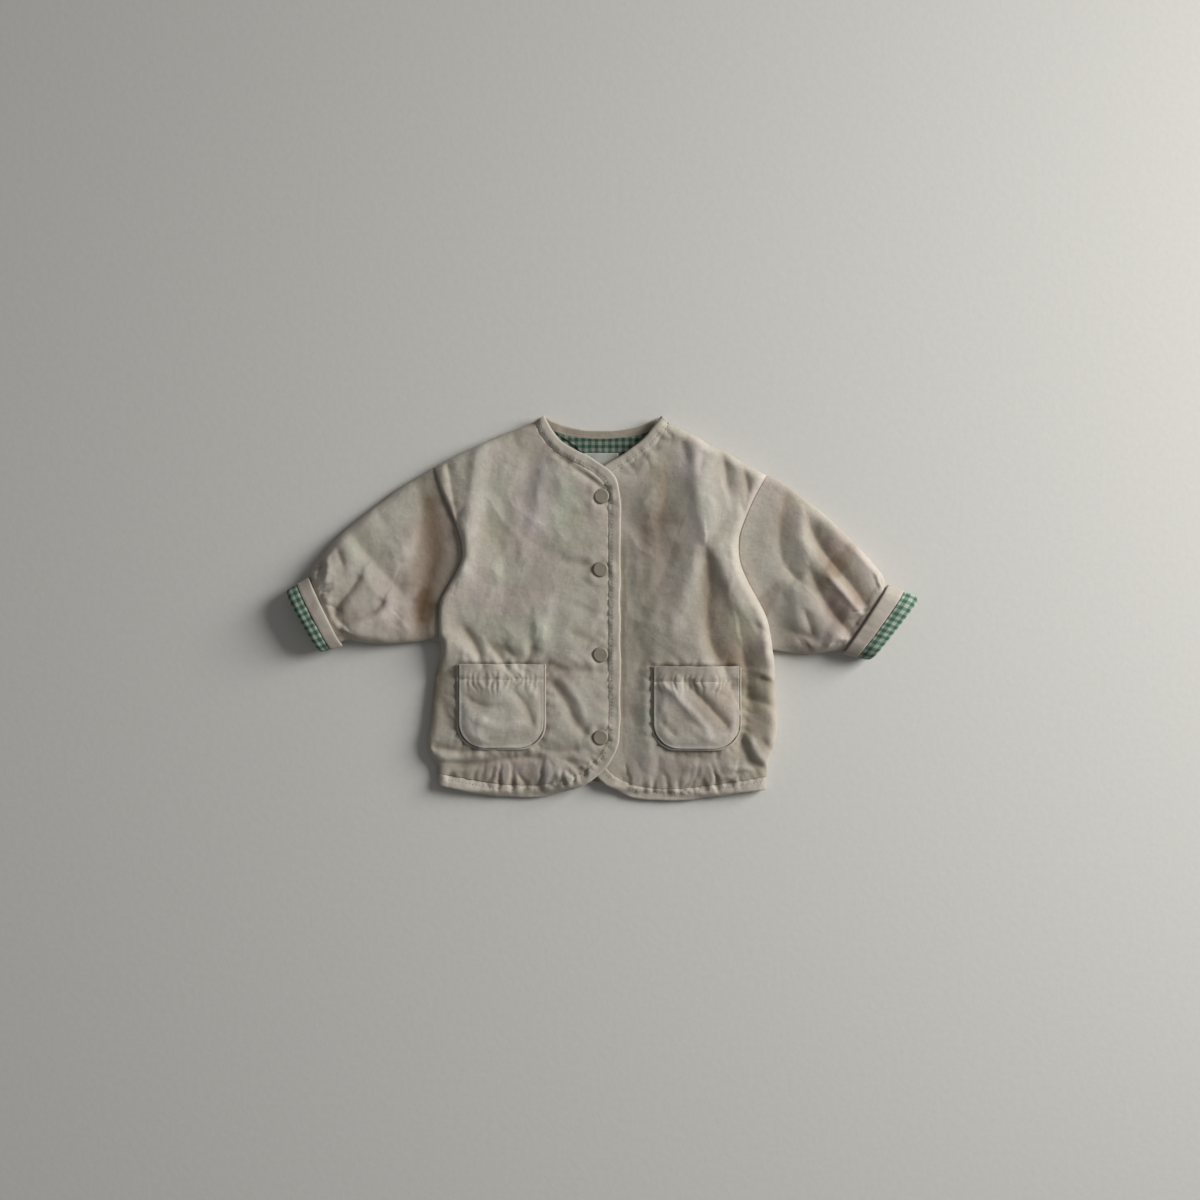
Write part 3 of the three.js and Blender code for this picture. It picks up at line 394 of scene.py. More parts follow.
def spline(points, steps=24):
    """Dense points of the smooth curve through the given ones."""
    given = np.asarray(points, float)
    ends = np.vstack([given[:1], given, given[-1:]])
    t = np.linspace(0, 1, steps, endpoint=False)[:, None]
    spans = []
    for i in range(len(given) - 1):
        before, a, b, after = ends[i:i + 4]
        leave, arrive = (b - before) / 2, (after - a) / 2
        cubic, square = 2 * a - 2 * b + leave + arrive, 3 * b - 3 * a - 2 * leave - arrive
        spans.append(cubic * t**3 + square * t**2 + leave * t + a)
    return np.vstack([*spans, given[-1:]])


def reach(line):
    """How far along a polyline each of its points lies."""
    return np.concatenate([[0], np.cumsum(np.hypot(*np.diff(line, axis=0)[:, :2].T))])


def walked(points):
    """Distance walked through points in space, up to each of them."""
    return np.concatenate([[0], np.cumsum(np.linalg.norm(np.diff(points, axis=0), axis=1))])


def along(line, fractions):
    """Points at fractions of a polyline's length."""
    at = reach(line)
    wanted = np.asarray(fractions, float) * at[-1]
    return np.stack([np.interp(wanted, at, line[:, k]) for k in range(line.shape[1])], axis=-1)


def nearest(line, x, y):
    """Distance to a polyline, the place along it, the side (1 on its left), and its length."""
    best = np.full(x.shape, 1e9)
    place = np.zeros(x.shape)
    side = np.ones(x.shape)
    total = 0.0
    for a, b in zip(line[:-1], line[1:]):
        run = b - a
        span = math.hypot(run[0], run[1])
        if span < 1e-9:
            continue
        t = np.clip(((x - a[0]) * run[0] + (y - a[1]) * run[1]) / span**2, 0, 1)
        dx, dy = x - a[0] - t * run[0], y - a[1] - t * run[1]
        away = np.hypot(dx, dy)
        near = away < best
        best = np.where(near, away, best)
        place = np.where(near, total + t * span, place)
        side = np.where(near, np.where(run[0] * dy - run[1] * dx >= 0, 1, -1), side)
        total += span
    return best, place, side, total


PERMUTED = np.random.RandomState(19).permutation(256)


def noise(x, y, seed=0):
    """Smooth noise in the plane, about -1 to 1, one hill per unit."""
    cell_x, cell_y = np.floor(x).astype(int), np.floor(y).astype(int)
    in_x, in_y = x - cell_x, y - cell_y
    ease_x, ease_y = (t**3 * (t * (t * 6 - 15) + 10) for t in (in_x, in_y))

    def slope(step_x, step_y):
        drawn = PERMUTED[(cell_x + step_x + 37 * seed) % 256]
        turn = PERMUTED[(drawn + cell_y + step_y) % 256] * (math.tau / 256)
        return np.cos(turn) * (in_x - step_x) + np.sin(turn) * (in_y - step_y)

    low = mix(slope(0, 0), slope(1, 0), ease_x)
    high = mix(slope(0, 1), slope(1, 1), ease_x)
    return 1.5 * mix(low, high, ease_y)


def fold_height(folds, x, y):
    height = np.zeros(x.shape)
    for path, left, right, rise in folds:
        line = spline(path, 6)
        away, place, side, total = nearest(line, x, y)
        width = np.where(side > 0, left, right)
        end = (left + right) / 2
        ends = smooth(place, -end, end) * smooth(total - place, -end, end)
        height += rise * ends * np.exp(-((away / width) ** (1.4 if rise < 0 else 2)))
    return height


def rumple(x, y, seed):
    """The small uneven creases of washed padded cotton."""
    warp_x = x + 9 * noise(x / 46, y / 46, seed + 1)
    warp_y = y + 9 * noise(x / 46, y / 46, seed + 2)
    broad = 1.0 * noise(warp_x / 40, warp_y / 48, seed + 3)
    sharp = 0.7 * (0.42 - np.abs(noise(warp_x / 26, warp_y / 32, seed + 4)))
    fine = 0.12 * (0.4 - np.abs(noise(warp_x / 11, warp_y / 13, seed + 5)))
    patch = smooth(noise(x / 60, y / 60, seed + 6), -0.5, 0.5)
    return broad + sharp * mix(0.5, 1.2, patch) + fine


# Outlines shared by the pieces

def lay_out(side):
    """Works out the curves of one side that several pieces share."""
    side["seam_line"] = np.vstack([[side["hem"][0]], spline(side["side"], 8)])
    side["arm_line"] = spline(side["armhole"])
    side["left_line"] = np.vstack([spline(side["side"])[:-1], side["arm_line"]])
    side["shoulder_line"] = np.asarray(side["shoulder"], float)
    side["hem_line"] = spline(side["hem"], 4)
    side["edge_line"] = np.vstack([spline(side["hem"])[:-1], spline(side["opening"])])
    side["corner_share"] = reach(spline(side["hem"]))[-1] / reach(side["edge_line"])[-1]


def edge_normals(line, turn, first, last, blend=16.0):
    """Unit directions into the cloth, turned at both ends to run along the seams there."""
    run = np.gradient(line, axis=0)
    run /= np.hypot(run[:, 0], run[:, 1])[:, None]
    normals = turn * np.stack([-run[:, 1], run[:, 0]], axis=-1)
    at = reach(line)
    for point, target, away in ((line[0], first, at), (line[-1], last, at[-1] - at)):
        aim = np.asarray(target, float) - point
        aim /= np.hypot(*aim)
        share = smooth(away, 0, blend)[:, None]
        normals = mix(aim, normals, share)
    return normals / np.hypot(normals[:, 0], normals[:, 1])[:, None]


def fill_patch(bottom, top, left, right, us, vs):
    """Plan grid between four boundaries that share their corners."""
    u, v = us[None, :, None], vs[:, None, None]
    ruled_v = mix(bottom[None], top[None], v)
    ruled_u = mix(left[:, None], right[:, None], u)
    corners = mix(mix(bottom[0], bottom[-1], u), mix(top[0], top[-1], u), v)
    return ruled_v + ruled_u - corners


def spread_stops(length, step, rolled_start=False, rolled_end=False):
    """Fractions of a length, a step apart, closer together where the cloth rolls over an edge."""
    close = [0, 0.35, 0.9, 1.7, 2.7, 3.9, 5.3, 7.0]
    first = close if rolled_start else [0]
    last = [length - c for c in reversed(close)] if rolled_end else [length]
    count = max(2, round((last[0] - first[-1]) / step))
    even = [mix(first[-1], last[0], i / count) for i in range(1, count)]
    return np.array([*first, *even, *last]) / length


# Heights of the panels

def inside_seams(side, x, y):
    seam = nearest(side["seam_line"], x, y)[0]
    shoulder = nearest(side["shoulder_line"], x, y)[0]
    return np.minimum(seam, shoulder)


def arm_seam_height(side, y):
    """Height of the armhole seam, which comes up flat toward the shoulder."""
    return mix(side["arm_seam_low"], ARM_SEAM["high"], smooth(y, ARM_SEAM["from"], ARM_SEAM["to"]))


def pinches(place, away, seed, pitch=12.0):
    """Rounded puffs between narrow creases that slant away from a sewn line, about -1 to 0.6."""
    slant = 0.75 * noise(place / 33, 0.3, seed)
    across = (place + slant * away + 1.6 * noise(place / 9, away / 7, seed + 1)) / pitch
    return 1.6 * np.minimum(1, 2.6 * np.abs(noise(across, away / 30, seed + 2))) - 1


def seam_relief(line, x, y, seed, dip=1.7, spread=7.0, pucker=1.0, pitch=12.0, reach_out=13.0):
    """Cloth drawn down to a sewn line, with creases of uneven length that run out from it."""
    away, place, _, _ = nearest(line, x, y)
    drawn = -dip * np.exp(-away / spread)
    strength = smooth(noise(place / 30, 0.7, seed + 4), -0.6, 0.45)
    length = reach_out * mix(0.55, 1.25, smooth(noise(place / 13, 0.2, seed + 5), -0.5, 0.5))
    return drawn + pucker * mix(0.3, 1, strength) * pinches(place, away, seed, pitch) * bell(away, length)


def pocket_line(side, grow=0.0):
    pocket = side["pocket"]
    left, right = pocket["left"] - grow, pocket["right"] + grow
    top, bottom = pocket["top"], pocket["bottom"] - grow
    radius = POCKET_RADIUS + grow
    turns = [(radius * math.cos(t), radius * math.sin(t)) for t in np.linspace(0, math.pi / 2, 12)]
    lower_left = [(left + radius - across, bottom + radius - down) for across, down in turns]
    lower_right = [(right - radius + across, bottom + radius - down) for down, across in turns]
    return np.array([(left, top), *lower_left, *lower_right, (right, top)])


def front_detail(side, x, y):
    seed = side["seeds"]["front"]
    edge = seam_relief(side["inner_edge"], x, y, seed + 10, dip=0.9, spread=5, pucker=1.0)
    tail = seam_relief(side["inner_edge"], x, y, seed + 14, dip=1.6, pucker=2.4, reach_out=17)
    detail = 1.5 * rumple(x, y, seed) + mix(edge, tail, 1 - smooth(y, -150, -110))
    arm = side["arm_line"][::4]
    detail = detail + seam_relief(arm, x, y, seed + 20, dip=0, pucker=0.7, pitch=17, reach_out=11)
    away, place, _, _ = nearest(pocket_line(side), x, y)
    detail = detail + 0.9 * pinches(place, away, seed + 31, 11) * bell(away, 9)
    pocket = side["pocket"]
    left, right = pocket["left"], pocket["right"]
    within = smooth(x, left - 4, left + 8) * (1 - smooth(x, right - 8, right + 4))
    above = y - pocket["top"] + 0.9 * noise(x / 12, 0, seed + 41)
    clear = np.maximum(above, 0)
    mouth = 1.3 * smooth(above, 0.2, 3.2) * np.exp(-np.maximum(above - 3, 0) / 8)
    mouth = mouth - 1.2 * (1 - smooth(above, -1, 1.5))
    pleat = 0.8 * pinches(x, clear, seed + 42, 15) * bell(clear, 10) * (above > 0)
    return detail + within * (mouth + pleat)


def snap_dimples(x, y):
    """The placket is drawn down at each snap and puckers up round it."""
    height = np.zeros(x.shape)
    for centre_x, centre_y in SNAPS.values():
        away = np.hypot(x - centre_x, y - centre_y)
        turn = np.arctan2(y - centre_y, x - centre_x)
        ring = 0.6 + 0.5 * np.cos(3 * turn + centre_y) + 0.3 * np.cos(5 * turn)
        height += ring * bell(away - 12, 4.2) - 0.7 * np.exp(-((away / 8) ** 4))
    return height


def front_rest(side, x, y, fine=True):
    """Height at which the inside of a front lies, away from its seams."""
    away = nearest(side["arm_line"][::3], x, y)[0]
    extra = front_detail(side, x, y) if fine else 0
    if side is RIGHT:
        form = PUFF + ARM_PUFF * np.exp(-away / 15) * (1 - 0.7 * smooth(y, 70, 120))
    else:
        slope = np.clip((x - 16) / 84, 0, 1)
        rise = slope * mix(0.55, 1, smooth(y, -90, -10)) * (1 - 0.6 * smooth(y, 90, 150))
        form = LEFT_PUFF + LEFT_RISE * rise
    hem = smooth(nearest(side["hem_line"], x, y)[0], *HEM_RISE)
    slack = np.maximum((SLACK + form) * hem + fold_height(side["folds"], x, y), LEAST_SLACK)
    if side is LEFT:
        below_neck = 1 - smooth(y, 95, 122)
        slack = mix(slack, LEAST_SLACK + 0.4, (1 - smooth(x, 12, 50)) * below_neck)
        extra = extra * smooth(x, 8, 24)
    beyond = np.interp(x, *np.array(BACK_HEM).T) - y
    drop = (CLOTH + EASE - 0.4) * smooth(beyond, *HEM_DROP)
    return np.maximum(CLOTH + EASE + slack + extra - drop, FLOOR_CLEARANCE)


def overlap_share(x, y):
    """Where the top front has the under front beneath it."""
    return smooth(x, -74, -22) * (1 - smooth(y, 141, 166)) * smooth(y, -182, -161)


def front_surface(side, x, y, fine=True):
    """Inner and outer height of a front, or of the smoother form that its binding and pocket follow."""
    rest = front_rest(side, x, y, fine)
    seed = side["seeds"]["front"] + 3
    if not fine:
        rest = rest + 0.6 * noise(x / 40, y / 40, seed)
    if side is RIGHT:
        over = front_rest(LEFT, x, y, fine=False) + CLOTH + PLACKET_CLEARANCE
        share = overlap_share(x, y)
        if fine:
            lift = front_detail(RIGHT, x, y) + fold_height(RIGHT["folds"], x, y)
            rest = mix(rest, over + lift * 0.8 + 0.8, share) + snap_dimples(x, y)
        else:
            rest = mix(rest, over + 0.4 + 0.3 * noise(x / 30, y / 30, seed), share)
    inside = inside_seams(side, x, y)
    inner = mix(SIDE_SEAM_Z + SEAM / 2, rest, roll_over(inside - CLOTH))
    top = rest + CLOTH
    if fine:
        away = nearest(side["arm_line"][::3], x, y)[0]
        top = mix(arm_seam_height(side, y), top, roll_over(away, ARM_ROLL))
    outer = mix(SIDE_SEAM_Z + SEAM_LIP, top, roll_over(inside))
    return np.minimum(inner, outer - 0.8), outer


def back_surface(x, y):
    """Inner and outer height of the back."""
    sides = [inside_seams(side, x, y) for side in (RIGHT, LEFT)]
    inside = np.where(x < 0, sides[0], sides[1])
    inner = mix(SIDE_SEAM_Z - SEAM / 2, CLOTH, roll_over(inside - CLOTH))
    outer = mix(SIDE_SEAM_Z - SEAM_LIP, 0, roll_over(inside))
    return inner, outer


# Meshes

def new_object(name, data):
    made = bpy.data.objects.new(name, data)
    bpy.context.scene.collection.objects.link(made)
    return made


class Build:
    """Collects grids of points into one closed mesh with cloth coordinates and material slots."""

    def __init__(self):
        self.points, self.faces, self.cloth, self.slots = [], [], [], []

    def grid(self, points, cloth, slot=0, wrap=False):
        """Adds a grid of points; cloth is their place on the cloth in metres, and wrap closes it round."""
        rows, columns = points.shape[:2]
        base = sum(len(p) for p in self.points)
        self.points.append(points.reshape(-1, 3))
        j, i = np.meshgrid(np.arange(rows - 1), np.arange(columns if wrap else columns - 1), indexing="ij")
        nxt = (i + 1) % columns
        corners = [(j, i, i), (j, nxt, i + 1), (j + 1, nxt, i + 1), (j + 1, i, i)]
        face = np.stack([base + row * columns + column for row, column, _ in corners], axis=-1)
        place = np.stack([cloth[row, column] for row, _, column in corners], axis=-2)
        self.faces.append(face.reshape(-1, 4))
        self.cloth.append(place.reshape(-1, 4, 2))
        self.slots.append(np.full(face.size // 4, slot))

    def cap(self, ring, cloth):
        """A flat end over a ring of points, as a fan from its middle."""
        middle = ring.mean(axis=0)
        fan = np.stack([ring, np.repeat(middle[None], len(ring), axis=0)])
        self.grid(fan, np.broadcast_to(cloth, (2, len(ring) + 1, 2)), wrap=True)

    def object(self, name, materials):
        mesh = bpy.data.meshes.new(name)
        mesh.from_pydata((np.vstack(self.points) * MM).tolist(), [], np.vstack(self.faces).tolist())
        layer = mesh.uv_layers.new(name="cloth")
        layer.data.foreach_set("uv", np.vstack(self.cloth).astype(np.float32).ravel())
        mesh.polygons.foreach_set("material_index", np.concatenate(self.slots).astype(np.int32))
        work = bmesh.new()
        work.from_mesh(mesh)
        bmesh.ops.remove_doubles(work, verts=work.verts, dist=1e-6)
        bmesh.ops.dissolve_degenerate(work, edges=work.edges, dist=1e-6)
        bmesh.ops.recalc_face_normals(work, faces=work.faces)
        for face in work.faces:
            face.smooth = True
        work.to_mesh(mesh)
        work.free()
        for material in materials:
            mesh.materials.append(material)
        piece = new_object(name, mesh)
        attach(piece, "root")
        return piece


def cut_sheet(plan, curved=False):
    """Works out the area, width and length of the cloth that a piece's plan was laid out from, a curved
    strip's length by its mean depth, and does nothing with them.
    """
    across, down = plan[1:, 1:] - plan[:-1, :-1], plan[1:, :-1] - plan[:-1, 1:]
    area = 0.5 * np.abs(across[..., 0] * down[..., 1] - across[..., 1] * down[..., 0]).sum() * MM * MM
    width, length = np.ptp(plan[..., 0]) * MM, np.ptp(plan[..., 1]) * MM
    if curved:
        length = area / width


def add_panel(name, plan, upper, lower, materials):
    """A closed panel over a plan grid, with the material of its upper side and of its lower side."""
    build = Build()
    top, bottom, cloth = np.dstack([plan, upper]), np.dstack([plan, lower]), plan * MM
    build.grid(top, cloth, 0)
    build.grid(bottom, cloth, 1)
    rim_slot = 1 if materials[0] is GINGHAM else 0
    for edge in (np.s_[0], np.s_[-1], np.s_[:, 0], np.s_[:, -1]):
        rim_cloth = np.stack([cloth[edge], cloth[edge] + RIM * MM])
        build.grid(np.stack([top[edge], bottom[edge]]), rim_cloth, rim_slot)
    return build.object(name, materials)


def add_strip(name, sections, material):
    """A closed section carried along a line. sections is [station, point, 3]."""
    build = Build()
    run = walked(sections.mean(axis=1)) * MM
    middle = sections[len(sections) // 2]
    around = walked(np.vstack([middle, middle[:1]])) * MM
    cloth = np.stack(np.meshgrid(run, around, indexing="ij"), axis=-1)
    build.grid(sections, cloth, 0, wrap=True)
    for end in (0, -1):
        build.cap(sections[end], cloth[end, 0])
    return build.object(name, [material])


# Materials

def new_material(name):
    material = bpy.data.materials.new(name)
    material.use_nodes = True
    tree = material.node_tree
    tree.nodes.clear()
    shader = node(tree, "ShaderNodeBsdfPrincipled")
    node(tree, "ShaderNodeOutputMaterial", {"Surface": shader.outputs["BSDF"]})
    return material, tree, shader


def fill(tree, made, inputs):
    """Links or sets the named inputs of a node."""
    for key, value in inputs.items():
        if isinstance(value, bpy.types.NodeSocket):
            tree.links.new(value, made.inputs[key])
        else:
            made.inputs[key].default_value = value


def node(tree, kind, inputs=None, **settings):
    made = tree.nodes.new(kind)
    for key, value in settings.items():
        setattr(made, key, value)
    fill(tree, made, inputs or {})
    return made


def maths(tree, operation, a, b=0.0):
    return node(tree, "ShaderNodeMath", {0: a, 1: b}, operation=operation).outputs[0]


def stretched(tree, value, factor, offset):
    return maths(tree, "ADD", maths(tree, "MULTIPLY", value, factor), offset)


def blend_colors(tree, share, a, b, mode="MIX"):
    mixed = node(tree, "ShaderNodeMix", data_type="RGBA", blend_type=mode)
    live = {socket.name: index for index, socket in enumerate(mixed.inputs) if socket.enabled}
    fill(tree, mixed, {live["Factor"]: share, live["A"]: a, live["B"]: b})
    return next(s for s in mixed.outputs if s.enabled)


def noise_share(tree, vector, scale, low, high, detail=4.0, rough=0.55, distortion=0.0):
    """Noise stretched so that low to high runs from 0 to 1."""
    made = node(
        tree, "ShaderNodeTexNoise",
        {"Vector": vector, "Scale": scale, "Detail": detail, "Roughness": rough, "Distortion": distortion},
    )
    ramp = node(tree, "ShaderNodeMapRange", {"Value": made.outputs["Fac"], "From Min": low, "From Max": high})
    return ramp.outputs["Result"]


def object_place(tree):
    return node(tree, "ShaderNodeTexCoord").outputs["Object"]


def vertex_value(tree, name):
    return node(tree, "ShaderNodeAttribute", attribute_name=name).outputs["Fac"]


def bumps(tree, shader, *layers):
    """Bumps, the coarsest first, each given as its height, its strength and its depth in millimetres."""
    below = {}
    for height, strength, depth in layers:
        inputs = {"Height": height, "Strength": strength, "Distance": depth * MM, **below}
        below = {"Normal": node(tree, "ShaderNodeBump", inputs).outputs["Normal"]}
    fill(tree, shader, below)


def wandering(tree, cloth, scale, strength):
    """Cloth coordinates across and down, shifted a little as yarns are."""
    wobble = node(tree, "ShaderNodeTexNoise", {"Vector": cloth, "Scale": scale, "Detail": 2.0})
    shift = {0: wobble.outputs["Color"], "Scale": strength}
    jitter = node(tree, "ShaderNodeVectorMath", shift, operation="SCALE")
    moved = node(tree, "ShaderNodeVectorMath", {0: cloth, 1: jitter.outputs[0]}, operation="ADD")
    return node(tree, "ShaderNodeSeparateXYZ", {0: moved.outputs[0]}).outputs


def rgb(red, green, blue):
    """Linear colour from one given as it shows on a screen, 0 to 255."""
    def linear(value):
        value /= 255
        return value / 12.92 if value <= 0.04045 else ((value + 0.055) / 1.055) ** 2.4
    return (linear(red), linear(green), linear(blue), 1.0)


def weave_height(tree, cloth, pitch):
    """Height of a plain weave with uneven yarns."""
    moved = wandering(tree, cloth, 90.0, 0.0011)
    turn = math.tau / (2 * pitch * MM)
    warp, weft = (maths(tree, "SINE", maths(tree, "MULTIPLY", moved[axis], turn)) for axis in (0, 1))
    return maths(tree, "MULTIPLY", warp, weft)


def cloth_material(name, base, second, third, depth=1.0):
    """Washed cotton: a plain weave, clouded by dye, with painted shade in hollows and painted highlight on
    ridges, and fine creases.
    """
    material, tree, shader = new_material(name)
    cloth = node(tree, "ShaderNodeUVMap", uv_map="cloth").outputs[0]
    place = object_place(tree)
    clouds = noise_share(tree, place, 13.0, 0.42, 0.62, detail=5.0, rough=0.6, distortion=0.4)
    drifts = noise_share(tree, place, 24.0, 0.45, 0.68, detail=4.0, rough=0.55)
    flecks = noise_share(tree, place, 260.0, 0.25, 0.75, detail=3.0, rough=0.7)
    color = blend_colors(tree, maths(tree, "MULTIPLY", clouds, 0.8), base, second)
    color = blend_colors(tree, maths(tree, "MULTIPLY", drifts, 0.5), color, third)
    yarns = []
    for scale in ((160.0, 900.0, 1.0), (900.0, 160.0, 1.0)):
        slubs = node(tree, "ShaderNodeMapping", {"Vector": cloth, "Scale": scale}).outputs[0]
        yarns.append(noise_share(tree, slubs, 1.0, 0.3, 0.7, detail=2.0))
    grain = stretched(tree, maths(tree, "ADD", *yarns), 0.07, -0.07)
    shade = maths(tree, "ADD", stretched(tree, flecks, 0.10, 0.95), grain)
    relief, tint = vertex_value(tree, "relief"), vertex_value(tree, "tint")
    channels = []
    # Painted shade and highlight: the relief attribute darkens hollows, most in blue so that the shade goes
    # brown, and lightens ridges; tint is the dye's pink or green.
    for gain, tinted in SHADE_AND_TINT_GAINS:
        painted_shading = maths(tree, "MULTIPLY", shade, stretched(tree, relief, gain, 1.0))
        channels.append(maths(tree, "MULTIPLY", painted_shading, stretched(tree, tint, tinted, 1.0)))
    dark = node(tree, "ShaderNodeCombineColor", dict(enumerate(channels))).outputs[0]
    fill(tree, shader, {
        "Base Color": blend_colors(tree, 1.0, color, dark, "MULTIPLY"),
        "Roughness": stretched(tree, flecks, 0.08, 0.88),
        "Specular IOR Level": 0.18, "Sheen Weight": 0.12, "Sheen Roughness": 0.6,
    })
    creases = noise_share(tree, place, 70.0, 0.3, 0.7, detail=3.0, rough=0.5)
    slub = noise_share(tree, cloth, 900.0, 0.2, 0.8, detail=2.0)
    yarn = maths(tree, "ADD", weave_height(tree, cloth, 0.28), maths(tree, "MULTIPLY", slub, 0.9))
    bumps(tree, shader, (creases, 0.55 * depth, 0.9), (yarn, 0.6, 0.07))
    return material


def gingham_material(name):
    """Yarn-dyed check: green and white stripes crossed, half-toned where they differ, with painted shade
    where the relief attribute is low.
    """
    material, tree, shader = new_material(name)
    cloth = node(tree, "ShaderNodeUVMap", uv_map="cloth").outputs[0]
    moved = wandering(tree, cloth, 160.0, 0.0009)
    stripes = []
    for axis in (0, 1):
        wave = maths(tree, "SINE", maths(tree, "MULTIPLY", moved[axis], math.pi / (CHECK * MM)))
        band = node(tree, "ShaderNodeMapRange", {"Value": wave, "From Min": -0.16, "From Max": 0.16})
        stripes.append(band.outputs["Result"])
    total = maths(tree, "MULTIPLY", maths(tree, "ADD", *stripes), 0.5)
    ramp = node(tree, "ShaderNodeValToRGB", {"Fac": total})
    ramp.color_ramp.elements[0].color = rgb(164, 170, 160)
    ramp.color_ramp.elements[1].color = rgb(60, 92, 75)
    ramp.color_ramp.elements.new(0.5).color = rgb(106, 131, 113)
    flecks = noise_share(tree, cloth, 700.0, 0.2, 0.8, detail=2.0)
    # Painted shade: a low relief attribute darkens the check, as in the neck hollow.
    painted_shading = stretched(tree, vertex_value(tree, "relief"), 0.24, 1.0)
    shade = maths(tree, "MULTIPLY", stretched(tree, flecks, 0.18, 0.9), painted_shading)
    dark = node(tree, "ShaderNodeCombineColor", {0: shade, 1: shade, 2: shade}).outputs[0]
    fill(tree, shader, {
        "Base Color": blend_colors(tree, 1.0, ramp.outputs["Color"], dark, "MULTIPLY"),
        "Roughness": stretched(tree, flecks, 0.1, 0.85),
        "Specular IOR Level": 0.18, "Sheen Weight": 0.1,
    })
    creases = noise_share(tree, cloth, 80.0, 0.3, 0.7, detail=4.0, rough=0.6)
    bumps(tree, shader, (creases, 0.4, 0.8), (weave_height(tree, cloth, 0.25), 0.5, 0.06))
    return material


def mottled_material(name, scale, spread, first, second, detail=3.0):
    """A matt material in two near colours, with what its other inputs are made from."""
    material, tree, shader = new_material(name)
    place = object_place(tree)
    share = noise_share(tree, place, scale, 0.5 - spread, 0.5 + spread, detail=detail)
    fill(tree, shader, {"Base Color": blend_colors(tree, share, rgb(*first), rgb(*second)), "Roughness": 0.7})
    return material, tree, shader, place, share


def snap_material():
    """Matt moulded plastic, faintly mottled, with a fine grain."""
    made = mottled_material("snap_plastic", 120.0, 0.2, (128, 121, 107), (140, 133, 119))
    material, tree, shader, place, _ = made
    grain = noise_share(tree, place, 900.0, 0.2, 0.8, detail=2.0)
    fill(tree, shader, {"Roughness": stretched(tree, grain, 0.12, 0.46)})
    bumps(tree, shader, (grain, 0.25, 0.05))
    return material


def tape_material():
    """Woven label tape, blank."""
    made = mottled_material("label_tape", 180.0, 0.2, (174, 174, 166), (162, 162, 154))
    material, tree, shader, place, _ = made
    down = node(tree, "ShaderNodeSeparateXYZ", {0: place}).outputs[1]
    rib = maths(tree, "SINE", maths(tree, "MULTIPLY", down, math.tau / (0.4 * MM)))
    bumps(tree, shader, (rib, 0.4, 0.05))
    return material


def thread_material():
    return mottled_material("sewing_thread", 1400.0, 0.3, (150, 143, 130), (176, 170, 158), detail=2.0)[0]


def floor_material():
    made = mottled_material("floor_paint", 160.0, 0.3, (205, 203, 198), (209, 207, 202))
    material, tree, shader, _, grain = made
    fill(tree, shader, {"Roughness": 0.8, "Specular IOR Level": 0.2})
    bumps(tree, shader, (grain, 0.15, 0.4))
    return material


SHELL = cloth_material("shell_cotton", rgb(180, 174, 162), rgb(174, 161, 152), rgb(163, 160, 142))
BOUND = cloth_material(
    "binding_cotton", rgb(180, 173, 161), rgb(171, 160, 150), rgb(163, 159, 142), depth=0.7,
)
GINGHAM = gingham_material("gingham_lining")
PLASTIC = snap_material()
TAPE = tape_material()
THREAD = thread_material()


def set_attribute(piece, name, values):
    layer = piece.data.attributes.new(name, "FLOAT", "POINT")
    layer.data.foreach_set("value", np.asarray(values, np.float32))


def set_painted_shade_and_tint(piece, relief, tint=None):
    """Stores each vertex's painted shade and highlight (the relief attribute), and its dye tint."""
    set_attribute(piece, "relief", relief)
    if tint is not None:
        set_attribute(piece, "tint", tint)


def plan_places(piece):
    """Each vertex's place in the plan, in millimetres."""
    places = np.empty(len(piece.data.vertices) * 3)
    piece.data.vertices.foreach_get("co", places)
    return places.reshape(-1, 3).T[:2] / MM


def cloud_layers(clouds, x, y):
    """Painted shade and highlight, and dye tint, of the listed clouds, with ragged edges."""
    shade, tint = np.zeros(x.shape), np.zeros(x.shape)
    for centre_x, centre_y, across, down, turn, darker, pinker in clouds:
        angle = math.radians(turn)
        dx, dy = x - centre_x, y - centre_y
        u = (dx * math.cos(angle) + dy * math.sin(angle)) / across
        v = (dy * math.cos(angle) - dx * math.sin(angle)) / down
        ragged = 0.35 * noise(x / 17, y / 17, 71) + 0.2 * noise(x / 7, y / 7, 72)
        share = 1 - smooth(np.hypot(u, v) + ragged, 0.5, 1.15)
        shade, tint = shade + darker * share, tint + pinker * share
    return shade, tint


# Pieces

def front_columns(side):
    return spread_stops(reach(spline(side["hem"]))[-1], GRID, rolled_start=True)


def front_rows(side):
    return spread_stops(reach(side["left_line"])[-1], GRID, rolled_end=True)


def edge_fractions(side):
    """Stations along a front's edge: the panel's columns along the hem, then its rows up the opening."""
    share = side["corner_share"]
    return np.concatenate([front_columns(side) * share, share + front_rows(side)[1:] * (1 - share)])


def prepare_edges(side):
    stations = along(side["edge_line"], edge_fractions(side))
    normals = edge_normals(stations, -side["outward"], side["side"][0], side["shoulder"][-1])
    side["edge_stations"], side["edge_normals"] = stations, normals
    side["inner_stations"] = stations + normals * (BINDING - 0.5)
    side["inner_edge"] = side["inner_stations"][::4]


